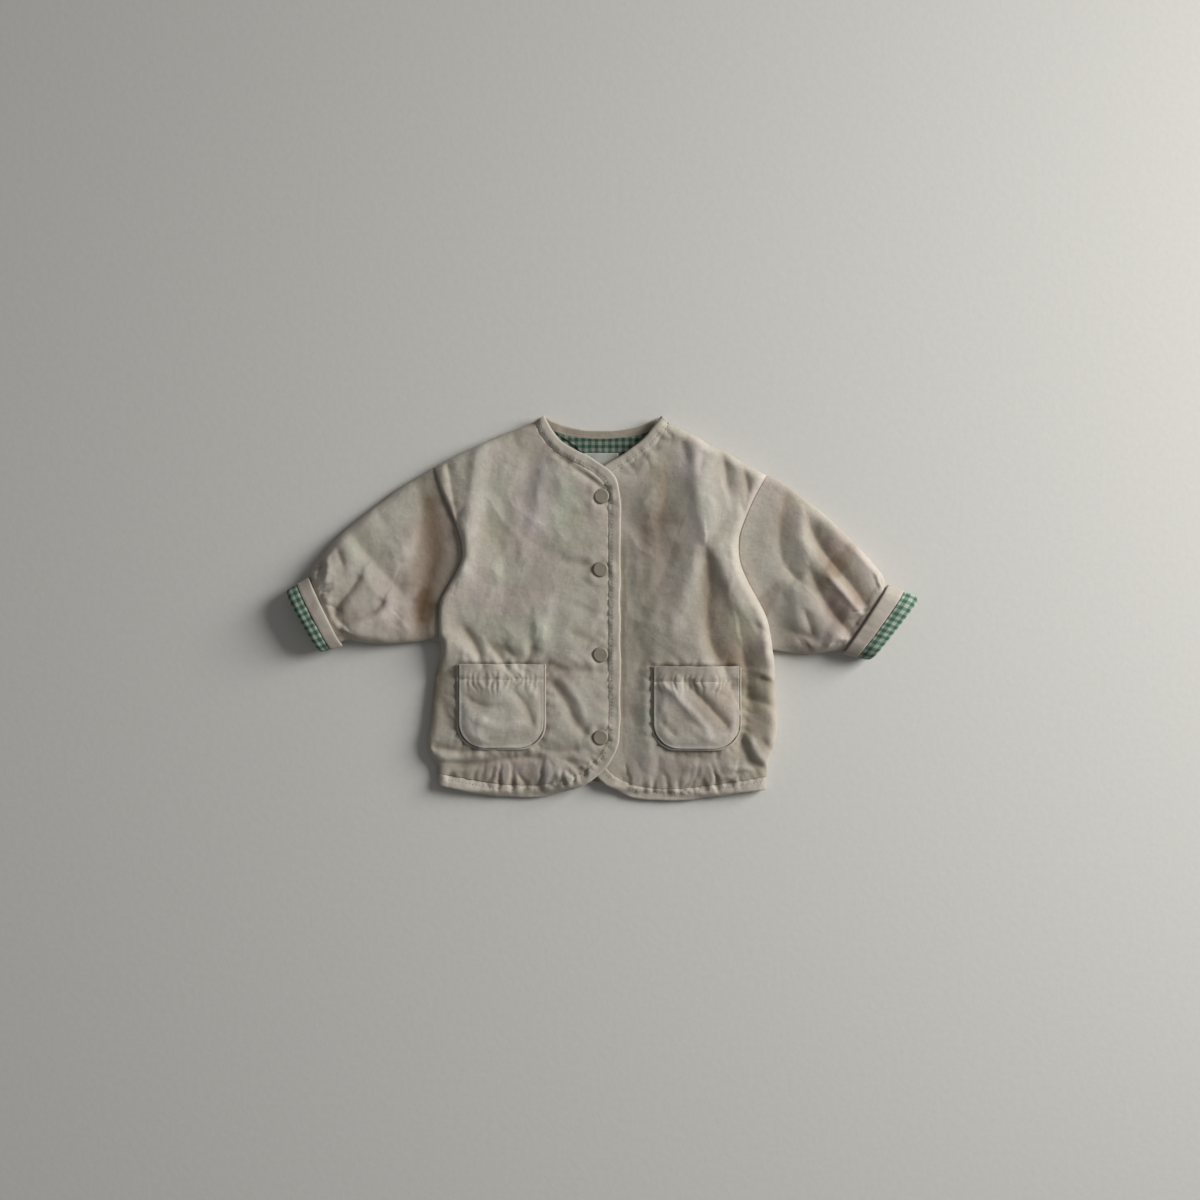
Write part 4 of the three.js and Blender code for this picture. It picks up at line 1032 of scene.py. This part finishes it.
def add_front(side):
    us, vs = front_columns(side), front_rows(side)
    inner = side["inner_stations"]
    corner = len(us) - 1
    bottom, right = inner[:corner + 1], inner[corner:]
    left = along(side["left_line"], vs)
    left[0] = bottom[0]
    top = along(side["shoulder_line"], us)
    top[-1] = right[-1]
    plan = fill_patch(bottom, top, left, right, us, vs)
    lower, upper = front_surface(side, plan[..., 0], plan[..., 1])
    piece = add_panel(f"front_{side['name']}_shell", plan, upper, lower, [SHELL, GINGHAM])
    x, y = plan_places(piece)
    # Painted shade in the hollows of the folds and painted highlight on their ridges, with the clouds'
    # painted shade and dye tint.
    values = (fold_height(side["folds"], x, y) + front_detail(side, x, y)) / 3.0
    shade, tint = cloud_layers(side["clouds"], x, y)
    set_painted_shade_and_tint(piece, np.clip(values, -1.2, 1.0) + shade, tint)
    cut_sheet(plan)
    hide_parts(f"front_{side['name']}")


# Upper side of a binding's section: distance from its edge, and share of its full height.
BINDING_TOP = [
    (0.0, 0.0), (0.2, 0.45), (0.6, 0.78), (1.2, 0.95), (2.2, 1.0), (3.4, 0.99), (4.6, 0.97), (5.8, 0.96),
    (7.0, 0.96), (7.7, 0.93), (8.2, 0.89), (8.7, 0.92), (9.5, 0.94), (10.4, 0.92), (11.2, 0.88), (11.8, 0.8),
    (12.1, 0.7),
]


def binding_sections(stations, normals, width, surface, seed, flat_under=False):
    """Section of a bound edge: round outside, full in the middle, drawn down at its row of stitches."""
    at = reach(stations)
    sections = []
    scale = width / BINDING
    for inward, share in BINDING_TOP:
        plan = stations + normals * (inward * scale)
        low, high = surface(*plan.T)
        middle, crown = (low + high) / 2, high + BINDING_SWELL
        if flat_under:
            middle, crown = mix(low, high, BINDING_FILL), high + 0.2
        strength = mix(0.35, 1, smooth(noise(at / 30, 0.7, seed + 4), -0.6, 0.45))
        bite = 0.3 + 0.7 * smooth(inward, 3, 10)
        pucker = 0.55 * bite * strength * (pinches(at, 12 - inward, seed, 9) + 0.25)
        pucker = pucker + 0.35 * noise(at / 22, inward / 11, seed + 1)
        z = mix(middle, crown, share) + pucker * min(1, share * 1.4)
        wave = 0.8 * noise(at / 18, 0.5, seed + 2) + 0.2 * noise(at / 6, 0, seed + 3)
        wave = wave * (1 - smooth(inward, 0, 4))
        sections.append(np.column_stack([plan + normals * wave[:, None], z]))
    for inward in (12.0, 8.0, 4.0, 1.6, 0.5):
        plan = stations + normals * (inward * scale)
        low, high = surface(*plan.T)
        middle = mix(low, high, BINDING_FILL) if flat_under else (low + high) / 2
        sections.append(np.column_stack([plan, mix(middle, low, math.sqrt(min(1, inward / 1.6)))]))
    return np.stack(sections, axis=1)


def add_front_binding(side):
    def surface(x, y):
        plain, fine = front_surface(side, x, y, fine=False), front_surface(side, x, y)
        share = smooth(nearest(side["inner_edge"], x, y)[0], 1, 10)
        return tuple(mix(b, a, share) for a, b in zip(plain, fine))

    stations, seed = side["edge_stations"], side["seeds"]["binding"]
    sections = binding_sections(stations, side["edge_normals"], BINDING, surface, seed)
    name = f"binding_front_{side['name']}"
    piece = add_strip(f"{name}_cloth", sections, BOUND)
    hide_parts(name)
    return sections


def add_back():
    step = 3.4
    neck_line = spline(BACK_NECK)
    neck_stops = spread_stops(reach(neck_line)[-1], step)
    neck = along(neck_line, neck_stops)
    neck_normals = edge_normals(neck, -1, RIGHT["shoulder"][-1], LEFT["shoulder"][-1], blend=8.0)
    neck_inner = neck + neck_normals * (BACK_NECK_BINDING - 0.4)
    tops = []
    for side in (RIGHT, LEFT):
        line = side["shoulder_line"]
        tops.append(along(line, spread_stops(reach(line)[-1], step, rolled_start=True)))
    top = np.vstack([tops[0][:-1], neck_inner, tops[1][::-1][1:]])
    us = reach(top) / reach(top)[-1]
    hem = along(spline(BACK_HEM), us)
    hem_normals = edge_normals(hem, 1, RIGHT["side"][0], LEFT["side"][0])
    bottom = hem + hem_normals * (BINDING - 0.4)
    vs = spread_stops(reach(RIGHT["left_line"])[-1], step, rolled_end=True)
    left = along(RIGHT["left_line"], vs)
    right = along(LEFT["left_line"], vs)
    left[0], right[0] = bottom[0], bottom[-1]
    left[-1], right[-1] = top[0], top[-1]
    plan = fill_patch(bottom, top, left, right, us, vs)
    inner, outer = back_surface(plan[..., 0], plan[..., 1])
    piece = add_panel("back_shell", plan, inner, outer, [GINGHAM, SHELL])
    cut_sheet(plan)
    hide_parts("back")
    for name, line, normals, width, seed in (
        ("binding_back_hem", hem, hem_normals, BINDING, 320),
        ("binding_back_neck", neck, neck_normals, BACK_NECK_BINDING, 330),
    ):
        sections = binding_sections(
            line, normals, width, lambda x, y: back_surface(x, y)[::-1], seed, flat_under=True,
        )
        sections[..., 2] = np.maximum(sections[..., 2], 0.0)
        strip = add_strip(f"{name}_cloth", sections, BOUND)
        # Painted shade on the back neck binding, which lies down in the neck hollow.
        set_painted_shade_and_tint(strip, np.full(len(strip.data.vertices), -1.1 if name.endswith("neck") else 0))
        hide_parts(name)
    return neck_inner


def add_neck_lining(neck_inner):
    top = neck_inner[2:-2]
    bottom = np.stack([top[:, 0] * 0.45, 124 + np.abs(top[:, 0]) * 0.62], axis=-1)
    rows = np.linspace(0, 1, 40)
    plan = mix(bottom[None], top[None], rows[:, None, None])
    x, y = plan[..., 0], plan[..., 1]
    floor = CLOTH + SEAM
    wave = 0.25 + 0.25 * noise(x / 15, y / 15, 41) + 0.15 * noise(x / 6, y / 9, 42)
    upper = floor + LINING_PATCH + wave
    piece = add_panel("neck_lining_cloth", plan, upper, upper * 0 + floor, [GINGHAM, GINGHAM])
    # Painted shade: the neck lining lies deep in the neck hollow.
    set_painted_shade_and_tint(piece, np.full(len(piece.data.vertices), -1.7))
    cut_sheet(plan, curved=True)
    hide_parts("neck_lining")


def add_label():
    columns = np.linspace(-LABEL["width"] / 2, LABEL["width"] / 2, 24)
    rows = np.linspace(-LABEL["height"] / 2, LABEL["height"] / 2, 14)
    x, y = np.meshgrid(LABEL["x"] + columns, LABEL["y"] + rows)
    base = CLOTH + SEAM + LINING_PATCH + SEAM + 0.35
    curl = 0.35 * noise(x / 14, y / 12, 51) + 0.5 * smooth(np.abs(x - LABEL["x"]), 12, 17)
    plan = np.stack([x, y], axis=-1)
    upper = base + curl + LABEL["thickness"]
    piece = add_panel("label_tape", plan, upper, base + curl, [TAPE, TAPE])
    cut_sheet(plan)
    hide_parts("label")


# Sleeves and cuffs

def sleeve_ends(side):
    inset = CLOTH + SEAM
    names = ("band_top", "band_under", "fold_top", "fold_under")
    band_top, band_under, fold_top, fold_under = (np.asarray(side[key], float) for key in names)
    down = band_under - band_top
    down /= np.hypot(*down)
    out_top, out_under = fold_top - band_top, fold_under - band_under
    end_top = fold_top + down * inset - out_top / np.hypot(*out_top) * inset
    end_under = fold_under - down * inset - out_under / np.hypot(*out_under) * inset
    return end_top, end_under


def sleeve_edges(side, ways):
    upper = along(spline(side["sleeve_top"]), np.clip(ways, 0, 1))
    under = along(spline(side["sleeve_under"]), np.clip(ways, 0, 1))
    end_top, end_under = sleeve_ends(side)
    past = np.clip(ways - 1, 0, None)[:, None]
    upper = upper + past * (end_top - np.asarray(side["sleeve_top"][-1]))
    under = under + past * (end_under - np.asarray(side["sleeve_under"][-1]))
    return upper, under


def eased(values, at, ways):
    """Value between rows of a short table, eased at each row."""
    rows = np.asarray(at, float)
    index = np.clip(np.searchsorted(rows, ways, side="left"), 1, len(rows) - 1)
    low, high = rows[index - 1], rows[index]
    table = np.asarray(values, float)
    return mix(table[index - 1], table[index], smooth(ways, low, high))


def sleeve_detail(side, x, y, way, t, width):
    """Creases of the upper wall: table folds, gathers into the cuff, the armhole seam and small rumples."""
    seed = side["seeds"]["sleeve"]
    folds = fold_height(side["sleeve_folds"], x, y)
    small = 1.6 * rumple(x, y, seed)
    gather = 2.0 * pinches(t * width, (1 - way) * 120, seed + 9, 13) * smooth(way, 0.8, 0.98)
    seam = seam_relief(side["arm_line"][::4], x, y, seed + 12, dip=0, pucker=0.8, pitch=16, reach_out=12)
    return folds + small + gather + seam


def sleeve_rings(side, ways, insets):
    """Closed rings [way, around, 3] of a sleeve, each a given distance inside its outer surface."""
    ways, insets = np.asarray(ways, float), np.asarray(insets, float)
    upper, under = sleeve_edges(side, ways)
    width = np.hypot(*(upper - under).T)[:, None]
    crown = eased(SLEEVE_CROWN, SLEEVE_ALONG, ways)[:, None]
    floor = eased(SLEEVE_FLOOR, SLEEVE_ALONG, ways)[:, None]
    inset = insets[:, None]
    arm_share = ((1 - np.minimum(ways, 1)) ** 2)[:, None]
    fade = (1 - smooth(ways, 0.9, 0.985))[:, None] * smooth(ways, 0, 0.05)[:, None]
    middle = floor + SLEEVE_EDGE
    line = side["arm_line"]

    def plan(t):
        run = t[None, :] * width
        near = np.minimum(run, width - run)
        drawn = inset * np.clip(1 - near / EDGE_SPREAD, 0, None)
        share = (run + np.where(t[None, :] < 0.5, drawn, -drawn)) / width
        x = mix(under[:, :1], upper[:, :1], share)
        y = mix(under[:, 1:], upper[:, 1:], share)
        arm = along(line, np.clip(share, 0, 1).ravel()).reshape(*share.shape, 2)
        chord = mix(line[0], line[-1], share[..., None])
        bent = arm_share[..., None] * (arm - chord)
        clear = np.where(ways == 0, -side["outward"] * 0.9, 0)[:, None]
        return x + bent[..., 0] + clear, y + bent[..., 1], near

    def roll(near):
        return roll_over(near * ROLL / np.maximum(ROLL - inset, 3))

    edge_length = float(width.mean())
    t_up = spread_stops(edge_length, edge_length / SLEEVE_UPPER_POINTS, True, True)
    t_low = spread_stops(edge_length, edge_length / SLEEVE_LOWER_POINTS, True, True)[1:-1][::-1]
    x, y, near = plan(t_up)
    dome = mix(mix(0.62, 0.4, t_up), 1, np.sin(math.pi * np.clip(t_up, 0, 1)) ** 0.8)[None, :]
    detail = fade * sleeve_detail(side, x, y, np.broadcast_to(ways[:, None], x.shape), t_up[None, :], width)
    raised = middle + (crown - middle) * dome + detail
    away = nearest(side["arm_line"][::3], x, y)[0] + np.where(ways[:, None] == 0, 0, 0.6)
    raised = mix(arm_seam_height(side, y) - 0.5, raised, smooth(np.minimum(away, 60 * ways[:, None]), 0, 28))
    least = floor + LEAST_SLEEVE
    raised = least + np.log1p(np.exp((raised - least) * 1.6)) / 1.6
    top = raised - inset
    upper_ring = np.stack([x, y, mix(middle, top, roll(near))], axis=-1)
    x, y, near = plan(t_low)
    low = np.maximum(0, mix(middle, floor + inset, roll(near)))
    lower_ring = np.stack([x, y, low], axis=-1)
    return np.concatenate([upper_ring, lower_ring], axis=1)


def ring_cloth(rings, run):
    """Cloth coordinates of rings: along the sleeve, and round it."""
    closed = np.concatenate([rings, rings[:, :1]], axis=1)
    around = walked(closed[len(closed) // 2]) * MM
    return np.stack(np.meshgrid(np.asarray(run) * MM, around, indexing="ij"), axis=-1)


def run_of(rings):
    """Distance walked from ring to ring, at the crown."""
    return walked(rings[:, rings.shape[1] // 3])


def add_sleeve(side):
    ways = np.concatenate([spread_stops(SLEEVE_LENGTH, GRID), 1 + np.linspace(0, 1, 8)[1:]])
    outer = sleeve_rings(side, ways, ways * 0)
    inner = sleeve_rings(side, ways, ways * 0 + SLEEVE_WALL)
    build = Build()
    build.grid(outer, ring_cloth(outer, run_of(outer)), 0, wrap=True)
    build.grid(inner, ring_cloth(inner, run_of(inner)), 1, wrap=True)
    for end in (0, -1):
        pair = np.stack([outer[end], inner[end]])
        build.grid(pair, ring_cloth(pair, [0, CLOTH]), 0 if end == 0 else 1, wrap=True)
    name = f"sleeve_{side['name']}"
    piece = build.object(f"{name}_shell", [SHELL, GINGHAM])
    x, y = plan_places(piece)
    shade, tint = cloud_layers(side["sleeve_clouds"], x, y)
    # Painted shade in the sleeve's creases and painted highlight on its ridges, with the clouds' painted
    # shade and dye tint.
    values = (fold_height(side["sleeve_folds"], x, y) + rumple(x, y, 400)) / 4.5
    set_painted_shade_and_tint(piece, np.clip(values, -1.4, 0.8) + shade, tint)
    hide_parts(name)


def cuff_rings(side, profile, seed):
    """Rings of a cuff piece from (millimetres along, inset) pairs, moved out from the sleeve's own rings."""
    length = CUFF_WIDTH - CLOTH - SEAM
    ways = [1 + place / length for place, _ in profile]
    rings = sleeve_rings(side, ways, [inset for _, inset in profile])
    run = np.cumsum(np.linalg.norm(np.diff(rings[0], axis=0, append=rings[0][:1]), axis=1))
    for k, (place, inset) in enumerate(profile):
        lift = noise(run / 13, place / 16, seed) + 0.4 * noise(run / 5.5, place / 8, seed + 1)
        outside = smooth(-inset, 1.5, 4.0)
        high = smooth(rings[k, :, 2], 6, 14)
        rings[k, :, 2] = rings[k, :, 2] + CUFF_WAVE * lift * outside * high
    rings[..., 2] = np.maximum(rings[..., 2], 0)
    return rings


def rounded(profile, radius=0.8, steps=3):
    """A closed profile with its corners rounded off."""
    points = [np.asarray(p, float) for p in profile]
    result = []
    for i, corner in enumerate(points):
        before, after = points[i - 1], points[(i + 1) % len(points)]
        a = corner + (before - corner) * min(0.45, radius / max(1e-6, np.hypot(*(before - corner))))
        b = corner + (after - corner) * min(0.45, radius / max(1e-6, np.hypot(*(after - corner))))
        for t in np.linspace(0, 1, steps):
            result.append(tuple(mix(mix(a, corner, t), mix(corner, b, t), t)))
    return result


def dense(profile):
    """More points along the long sides of a closed profile."""
    result = []
    for i, point in enumerate(profile):
        nxt = profile[(i + 1) % len(profile)]
        count = max(1, round(math.hypot(nxt[0] - point[0], nxt[1] - point[1]) / CUFF_STEP))
        start, stop = np.asarray(point, float), np.asarray(nxt, float)
        result += [tuple(mix(start, stop, k / count)) for k in range(count)]
    return result


def add_cuff(side):
    """The two parts of a turned-up cuff, from profiles of (millimetres along, inset)."""
    length = CUFF_WIDTH - CLOTH - SEAM
    outside = -(CLOTH + SEAM)
    seed = side["seeds"]["cuff"]
    band = [(0, -SEAM), (0, outside), (CUFF_BAND - SEAM, outside - 0.15), (CUFF_BAND - SEAM, -SEAM)]
    lining = [
        (CUFF_BAND, -SEAM), (CUFF_BAND, outside + 0.5), (length - 1, outside + 0.1),
        (length + 2.2, outside + 0.9), (length + 3.8, -1.6), (length + CLOTH, 0.8),
        (length + CLOTH - 0.6, CLOTH - 0.4), (length + SEAM, CLOTH - 0.3), (length + SEAM, -SEAM),
    ]
    for kind, profile, radius, material, slot in (
        ("cuff_band", band, 1.1, BOUND, "binding_cloth"),
        ("cuff_lining", lining, 0.9, GINGHAM, "checked_lining"),
    ):
        full = dense(rounded(profile, radius))
        rings = cuff_rings(side, full, seed)
        closed = np.concatenate([rings, rings[:1]])
        distances = [0.0]
        for a, b in zip(full, full[1:] + full[:1]):
            distances.append(distances[-1] + math.hypot(b[0] - a[0], b[1] - a[1]))
        build = Build()
        build.grid(closed, ring_cloth(closed, distances), 0, wrap=True)
        name = f"{kind}_{side['name']}"
        piece = build.object(f"{name}_cloth", [material])
        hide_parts(name)
        seed += 5


# Pockets

POCKET_FOLDS = {
    "right": [
        ([(-128, -84), (-112, -92), (-96, -90)], 4, 5, -0.9),
        ([(-120, -104), (-98, -112), (-76, -108)], 5, 5, 0.8),
        ([(-84, -76), (-72, -92), (-64, -112)], 4, 5, -0.9),
        ([(-110, -122), (-90, -126)], 4, 4, -0.6),
        ([(-72, -70), (-62, -84)], 4, 4, 0.7),
    ],
    "left": [
        ([(76, -66), (97, -88), (120, -113)], 6, 4, -1.8),
        ([(68, -82), (86, -98), (102, -118)], 4, 4, 0.8),
        ([(52, -70), (72, -80)], 4, 4, 0.9),
        ([(56, -106), (70, -120)], 4, 5, -0.9),
        ([(104, -76), (122, -84)], 4, 4, -0.8),
        ([(82, -112), (104, -124)], 5, 4, 0.7),
    ],
}


def pocket_half_width(half, above):
    above = np.minimum(above, POCKET_RADIUS)
    return half - POCKET_RADIUS + np.sqrt(np.maximum(0, POCKET_RADIUS**2 - (POCKET_RADIUS - above) ** 2))


def pocket_surface(side, x, y, centre, half, lowest):
    """Under and upper side of a pocket: it lies on the front and stands off it most at its mouth."""
    top = side["pocket"]["top"]
    seed = side["seeds"]["pocket"]
    under = front_surface(side, x, y, fine=False)[1] + 0.5
    across = np.clip(1 - np.abs(x - centre) / half, 0, 1)
    up = np.clip((y - lowest) / (top - lowest), 0, 1)
    puff = 1.5 * smooth(across, 0, 0.6) * np.sin(math.pi / 2 * np.minimum(1, up * 1.4)) + 0.9
    folds = fold_height(POCKET_FOLDS[side["name"]], x, y)
    small = 1.4 * rumple(x, y, seed)
    below = top - POCKET_BAND + 0.4 * noise(x / 14, 0, seed + 6) - y
    strength = mix(0.4, 1, smooth(noise(x / 18, 0, seed + 9), -0.5, 0.5))
    pleats, above = (
        strength * pinches(x, np.maximum(away, 0), seed + 7, PLEAT_PITCH) * here * bell(below, fade)
        for away, here, fade in ((below, below > 0, 11), (-below, below <= 0, 6))
    )
    groove = -0.8 * bell(below, 1.8) * mix(0.5, 1, strength)
    edge = nearest(pocket_line(side, -3.4), x, y)[0]
    hold = smooth(edge, 0, 9)
    relief = (1.5 * folds + small + 1.1 * pleats + 0.9 * above) * mix(0.25, 1, hold)
    rim = 0.5 * smooth(edge, 0, 5)
    return under, under + POCKET_CLOTH + puff * mix(0.3, 1, hold) + relief + groove + rim - 0.4, relief


def add_pocket(side):
    pocket = side["pocket"]
    name = side["name"]
    centre = (pocket["left"] + pocket["right"]) / 2
    border = 2 * PIPING_RADIUS + PIPING_GAP
    half = (pocket["right"] - pocket["left"]) / 2 - border
    lowest = pocket["bottom"] + border
    band_foot = pocket["top"] - POCKET_BAND
    shares = np.linspace(-1, 1, POCKET_COLUMNS)

    def plan_of(rows):
        reach_x = pocket_half_width(half, rows - lowest)
        x = centre + reach_x[:, None] * shares[None, :]
        return np.stack([x, np.repeat(rows[:, None], len(shares), axis=1)], axis=-1)

    rounds = lowest + POCKET_RADIUS * (1 - np.cos(np.linspace(0, math.pi / 2, 20)))
    straight = np.linspace(lowest + POCKET_RADIUS, band_foot, 40)[1:]
    piping = add_piping(side)
    for kind, rows, material, slot in (
        ("pocket", np.concatenate([rounds, straight]), SHELL, "shell_cloth"),
        ("pocket_band", np.linspace(band_foot - 0.6, pocket["top"], 16), BOUND, "binding_cloth"),
    ):
        plan = plan_of(rows)
        under, upper, relief = pocket_surface(side, plan[..., 0], plan[..., 1], centre, half, lowest)
        if kind == "pocket_band":
            ripple = 0.5 * noise(plan[..., 0] / 7, plan[..., 1] / 20, 741)
            plan[..., 1] += ripple * smooth(plan[..., 1], band_foot, pocket["top"])
            under = under + 0.6 * smooth(plan[..., 1], band_foot + 4, pocket["top"])
        piece = add_panel(f"{kind}_{name}_cloth", plan, upper, under, [material, SHELL])
        if kind == "pocket":
            x, y = plan_places(piece)
            shade, tint = cloud_layers(side["clouds"], x, y)
            # Painted highlight along the pocket's left side and foot, added to the relief's painted shade and
            # highlight and the clouds.
            painted_edge_highlight = sum(np.exp(-np.clip(away, 0, 99) / 7) for away in (x - centre + half, y - lowest))
            set_painted_shade_and_tint(piece, vertex_relief(x, y, plan, relief) + shade + 0.9 * painted_edge_highlight, tint)
        cut_sheet(plan)
        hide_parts(f"{kind}_{name}")


def vertex_relief(x, y, plan, relief):
    """Relief of each vertex, read from the nearest row and column of the plan grid."""
    last_row, last_column = plan.shape[0] - 1, plan.shape[1] - 1
    rows = np.clip(np.searchsorted(plan[:, 0, 1], y), 0, last_row)
    starts, stops = plan[rows, 0, 0], plan[rows, -1, 0]
    columns = ((x - starts) / (stops - starts) * last_column).round().astype(int)
    return np.clip(relief[rows, np.clip(columns, 0, last_column)] / 1.3, -1.2, 1)


def add_piping(side):
    line = along(pocket_line(side, -PIPING_RADIUS), np.linspace(0, 1, 150))
    normals = edge_normals(line, -1, line[0] + (1, 0), line[-1] + (-1, 0), blend=0.01)
    seed = side["seeds"]["piping"]
    at = reach(line)
    height = front_surface(side, line[:, 0], line[:, 1], fine=False)[1]
    sections = []
    for k in range(10):
        turn = math.tau * k / 10
        radius = PIPING_RADIUS * (1.05 + 0.1 * noise(at / 4, k / 4, seed))
        z = height - 0.2 + 0.6 * (PIPING_RADIUS + radius * math.sin(turn)) + 0.25 * noise(at / 9, 0, seed + 1)
        sections.append(np.column_stack([line + normals * (radius * math.cos(turn))[:, None], z]))
    sections = np.stack(sections, axis=1)
    name = f"pocket_piping_{side['name']}"
    piece = add_strip(f"{name}_cord", sections, BOUND)
    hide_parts(name)
    return piece


# Snaps and sewing

def add_snap(name, x, y):
    """A snap cap turned from a profile of (radius, height)."""
    radius, shank = SNAP_DIAMETER / 2, SNAP_SHANK
    profile = [
        (0.0, 0.0), (3.0, 0.0), (3.0, shank), (radius - 0.5, shank), (radius - 0.12, shank + 0.2),
        (radius, shank + 0.5), (radius - 0.1, shank + 0.85), (radius - 0.4, shank + 1.15),
        (radius - 0.9, shank + 1.4), (radius - 1.5, shank + 1.5), (radius - 2.1, shank + 1.44),
        (radius - 3.0, shank + 1.36), (radius - 5.0, shank + 1.32), (0.0, shank + 1.32),
    ]
    turns = np.linspace(0, math.tau, 13)[:-1]
    rim_x, rim_y = x + SNAP_SEAT * np.cos(turns), y + SNAP_SEAT * np.sin(turns)
    base = float(front_surface(RIGHT, rim_x, rim_y)[1].mean()) + 0.2
    turns = np.linspace(0, math.tau, 49)[:-1]
    rings = np.stack([
        np.stack([x + r * np.cos(turns), y + r * np.sin(turns), np.full(turns.shape, base + z)], axis=-1)
        for r, z in profile
    ])
    build = Build()
    build.grid(rings, np.zeros((len(profile), len(turns) + 1, 2)), 0, wrap=True)
    piece = build.object(f"{name}_cap", [PLASTIC])
    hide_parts(name)


def stitch_boxes(line, heights):
    """Points and faces of small raised stitches along a line that lies on the cloth."""
    at = reach(line)
    starts = np.arange(int(at[-1] // STITCH["pitch"])) * STITCH["pitch"] + 0.4
    points, faces = [], []
    for start in starts:
        ends = np.array([start, start + STITCH["length"]])
        x, y = (np.interp(ends, at, line[:, k]) for k in (0, 1))
        z = np.interp(ends, at, heights)
        run = np.array([x[1] - x[0], y[1] - y[0]])
        run /= max(1e-6, np.hypot(*run))
        side = np.array([-run[1], run[0]]) * STITCH["width"] / 2
        b = len(points)
        for k in (0, 1):
            for sign in (-1, 1):
                points.append((x[k] + sign * side[0], y[k] + sign * side[1], z[k] - 0.1))
        for shift in (-0.25, 0.25):
            for sign in (-0.7, 0.7):
                px = x.mean() + run[0] * shift * STITCH["length"] + sign * side[0]
                py = y.mean() + run[1] * shift * STITCH["length"] + sign * side[1]
                points.append((px, py, z.mean() + STITCH["height"]))
        faces += [
            (b, b + 1, b + 3, b + 2), (b + 4, b + 6, b + 7, b + 5), (b, b + 4, b + 5, b + 1),
            (b + 2, b + 3, b + 7, b + 6), (b, b + 2, b + 6, b + 4), (b + 1, b + 5, b + 7, b + 3),
        ]
    return points, faces


def add_stitches(name, rows):
    points, faces = [], []
    for line, heights in rows:
        more_points, more_faces = stitch_boxes(line, heights)
        faces += [tuple(i + len(points) for i in face) for face in more_faces]
        points += more_points
    mesh = bpy.data.meshes.new(name)
    mesh.from_pydata([tuple(c * MM for c in p) for p in points], [], faces)
    for polygon in mesh.polygons:
        polygon.use_smooth = True
    mesh.materials.append(THREAD)
    piece = new_object(name, mesh)
    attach(piece, "root")


# Assembly

for side in (RIGHT, LEFT):
    lay_out(side)
    prepare_edges(side)

add_neck_lining(add_back())
add_label()
stitch_rows = []
for side in (RIGHT, LEFT):
    add_front(side)
    row = add_front_binding(side)[:, STITCH_ROW]
    stitch_rows.append((row[:, :2], row[:, 2] + 0.05))
    add_sleeve(side)
    add_cuff(side)
    add_pocket(side)
for name, (x, y) in SNAPS.items():
    add_snap(name, x, y)
add_stitches("stitches_binding", stitch_rows)


# Surface, light and camera

def add_floor():
    mesh = bpy.data.meshes.new("floor")
    corners = [(x * FLOOR_REACH, y * FLOOR_REACH, 0) for x, y in ((-1, -1), (1, -1), (1, 1), (-1, 1))]
    mesh.from_pydata(corners, [], [(0, 1, 2, 3)])
    mesh.materials.append(floor_material())
    new_object("floor", mesh)


def add_window():
    light = bpy.data.lights.new("window", "AREA")
    light.shape = "RECTANGLE"
    light.size = light.size_y = WINDOW["size"]
    light.energy = WINDOW["power"]
    light.spread = math.radians(WINDOW_SPREAD)
    light.color = WINDOW_COLOR
    holder = new_object("window", light)
    holder.location = WINDOW["place"]
    direction = Vector(WINDOW["aim"]) - Vector(WINDOW["place"])
    holder.rotation_euler = direction.to_track_quat("-Z", "Y").to_euler()


def add_camera():
    """A camera straight above, as wide as the view at the cloth's mean height."""
    data = bpy.data.cameras.new("camera")
    data.sensor_width = SENSOR
    data.lens = SENSOR / 2 / (VIEW_WIDTH / 2 / (CAMERA["z"] - VIEW_HEIGHT))
    camera = new_object("camera", data)
    camera.location = (CAMERA["x"], CAMERA["y"], CAMERA["z"])
    bpy.context.scene.camera = camera


add_floor()
add_window()
world = bpy.data.worlds.new("room")
world.use_nodes = True
background = world.node_tree.nodes["Background"]
background.inputs[0].default_value = ROOM_COLOR
background.inputs[1].default_value = ROOM_STRENGTH
bpy.context.scene.world = world
add_camera()
bpy.context.scene.view_settings.view_transform = "Standard"
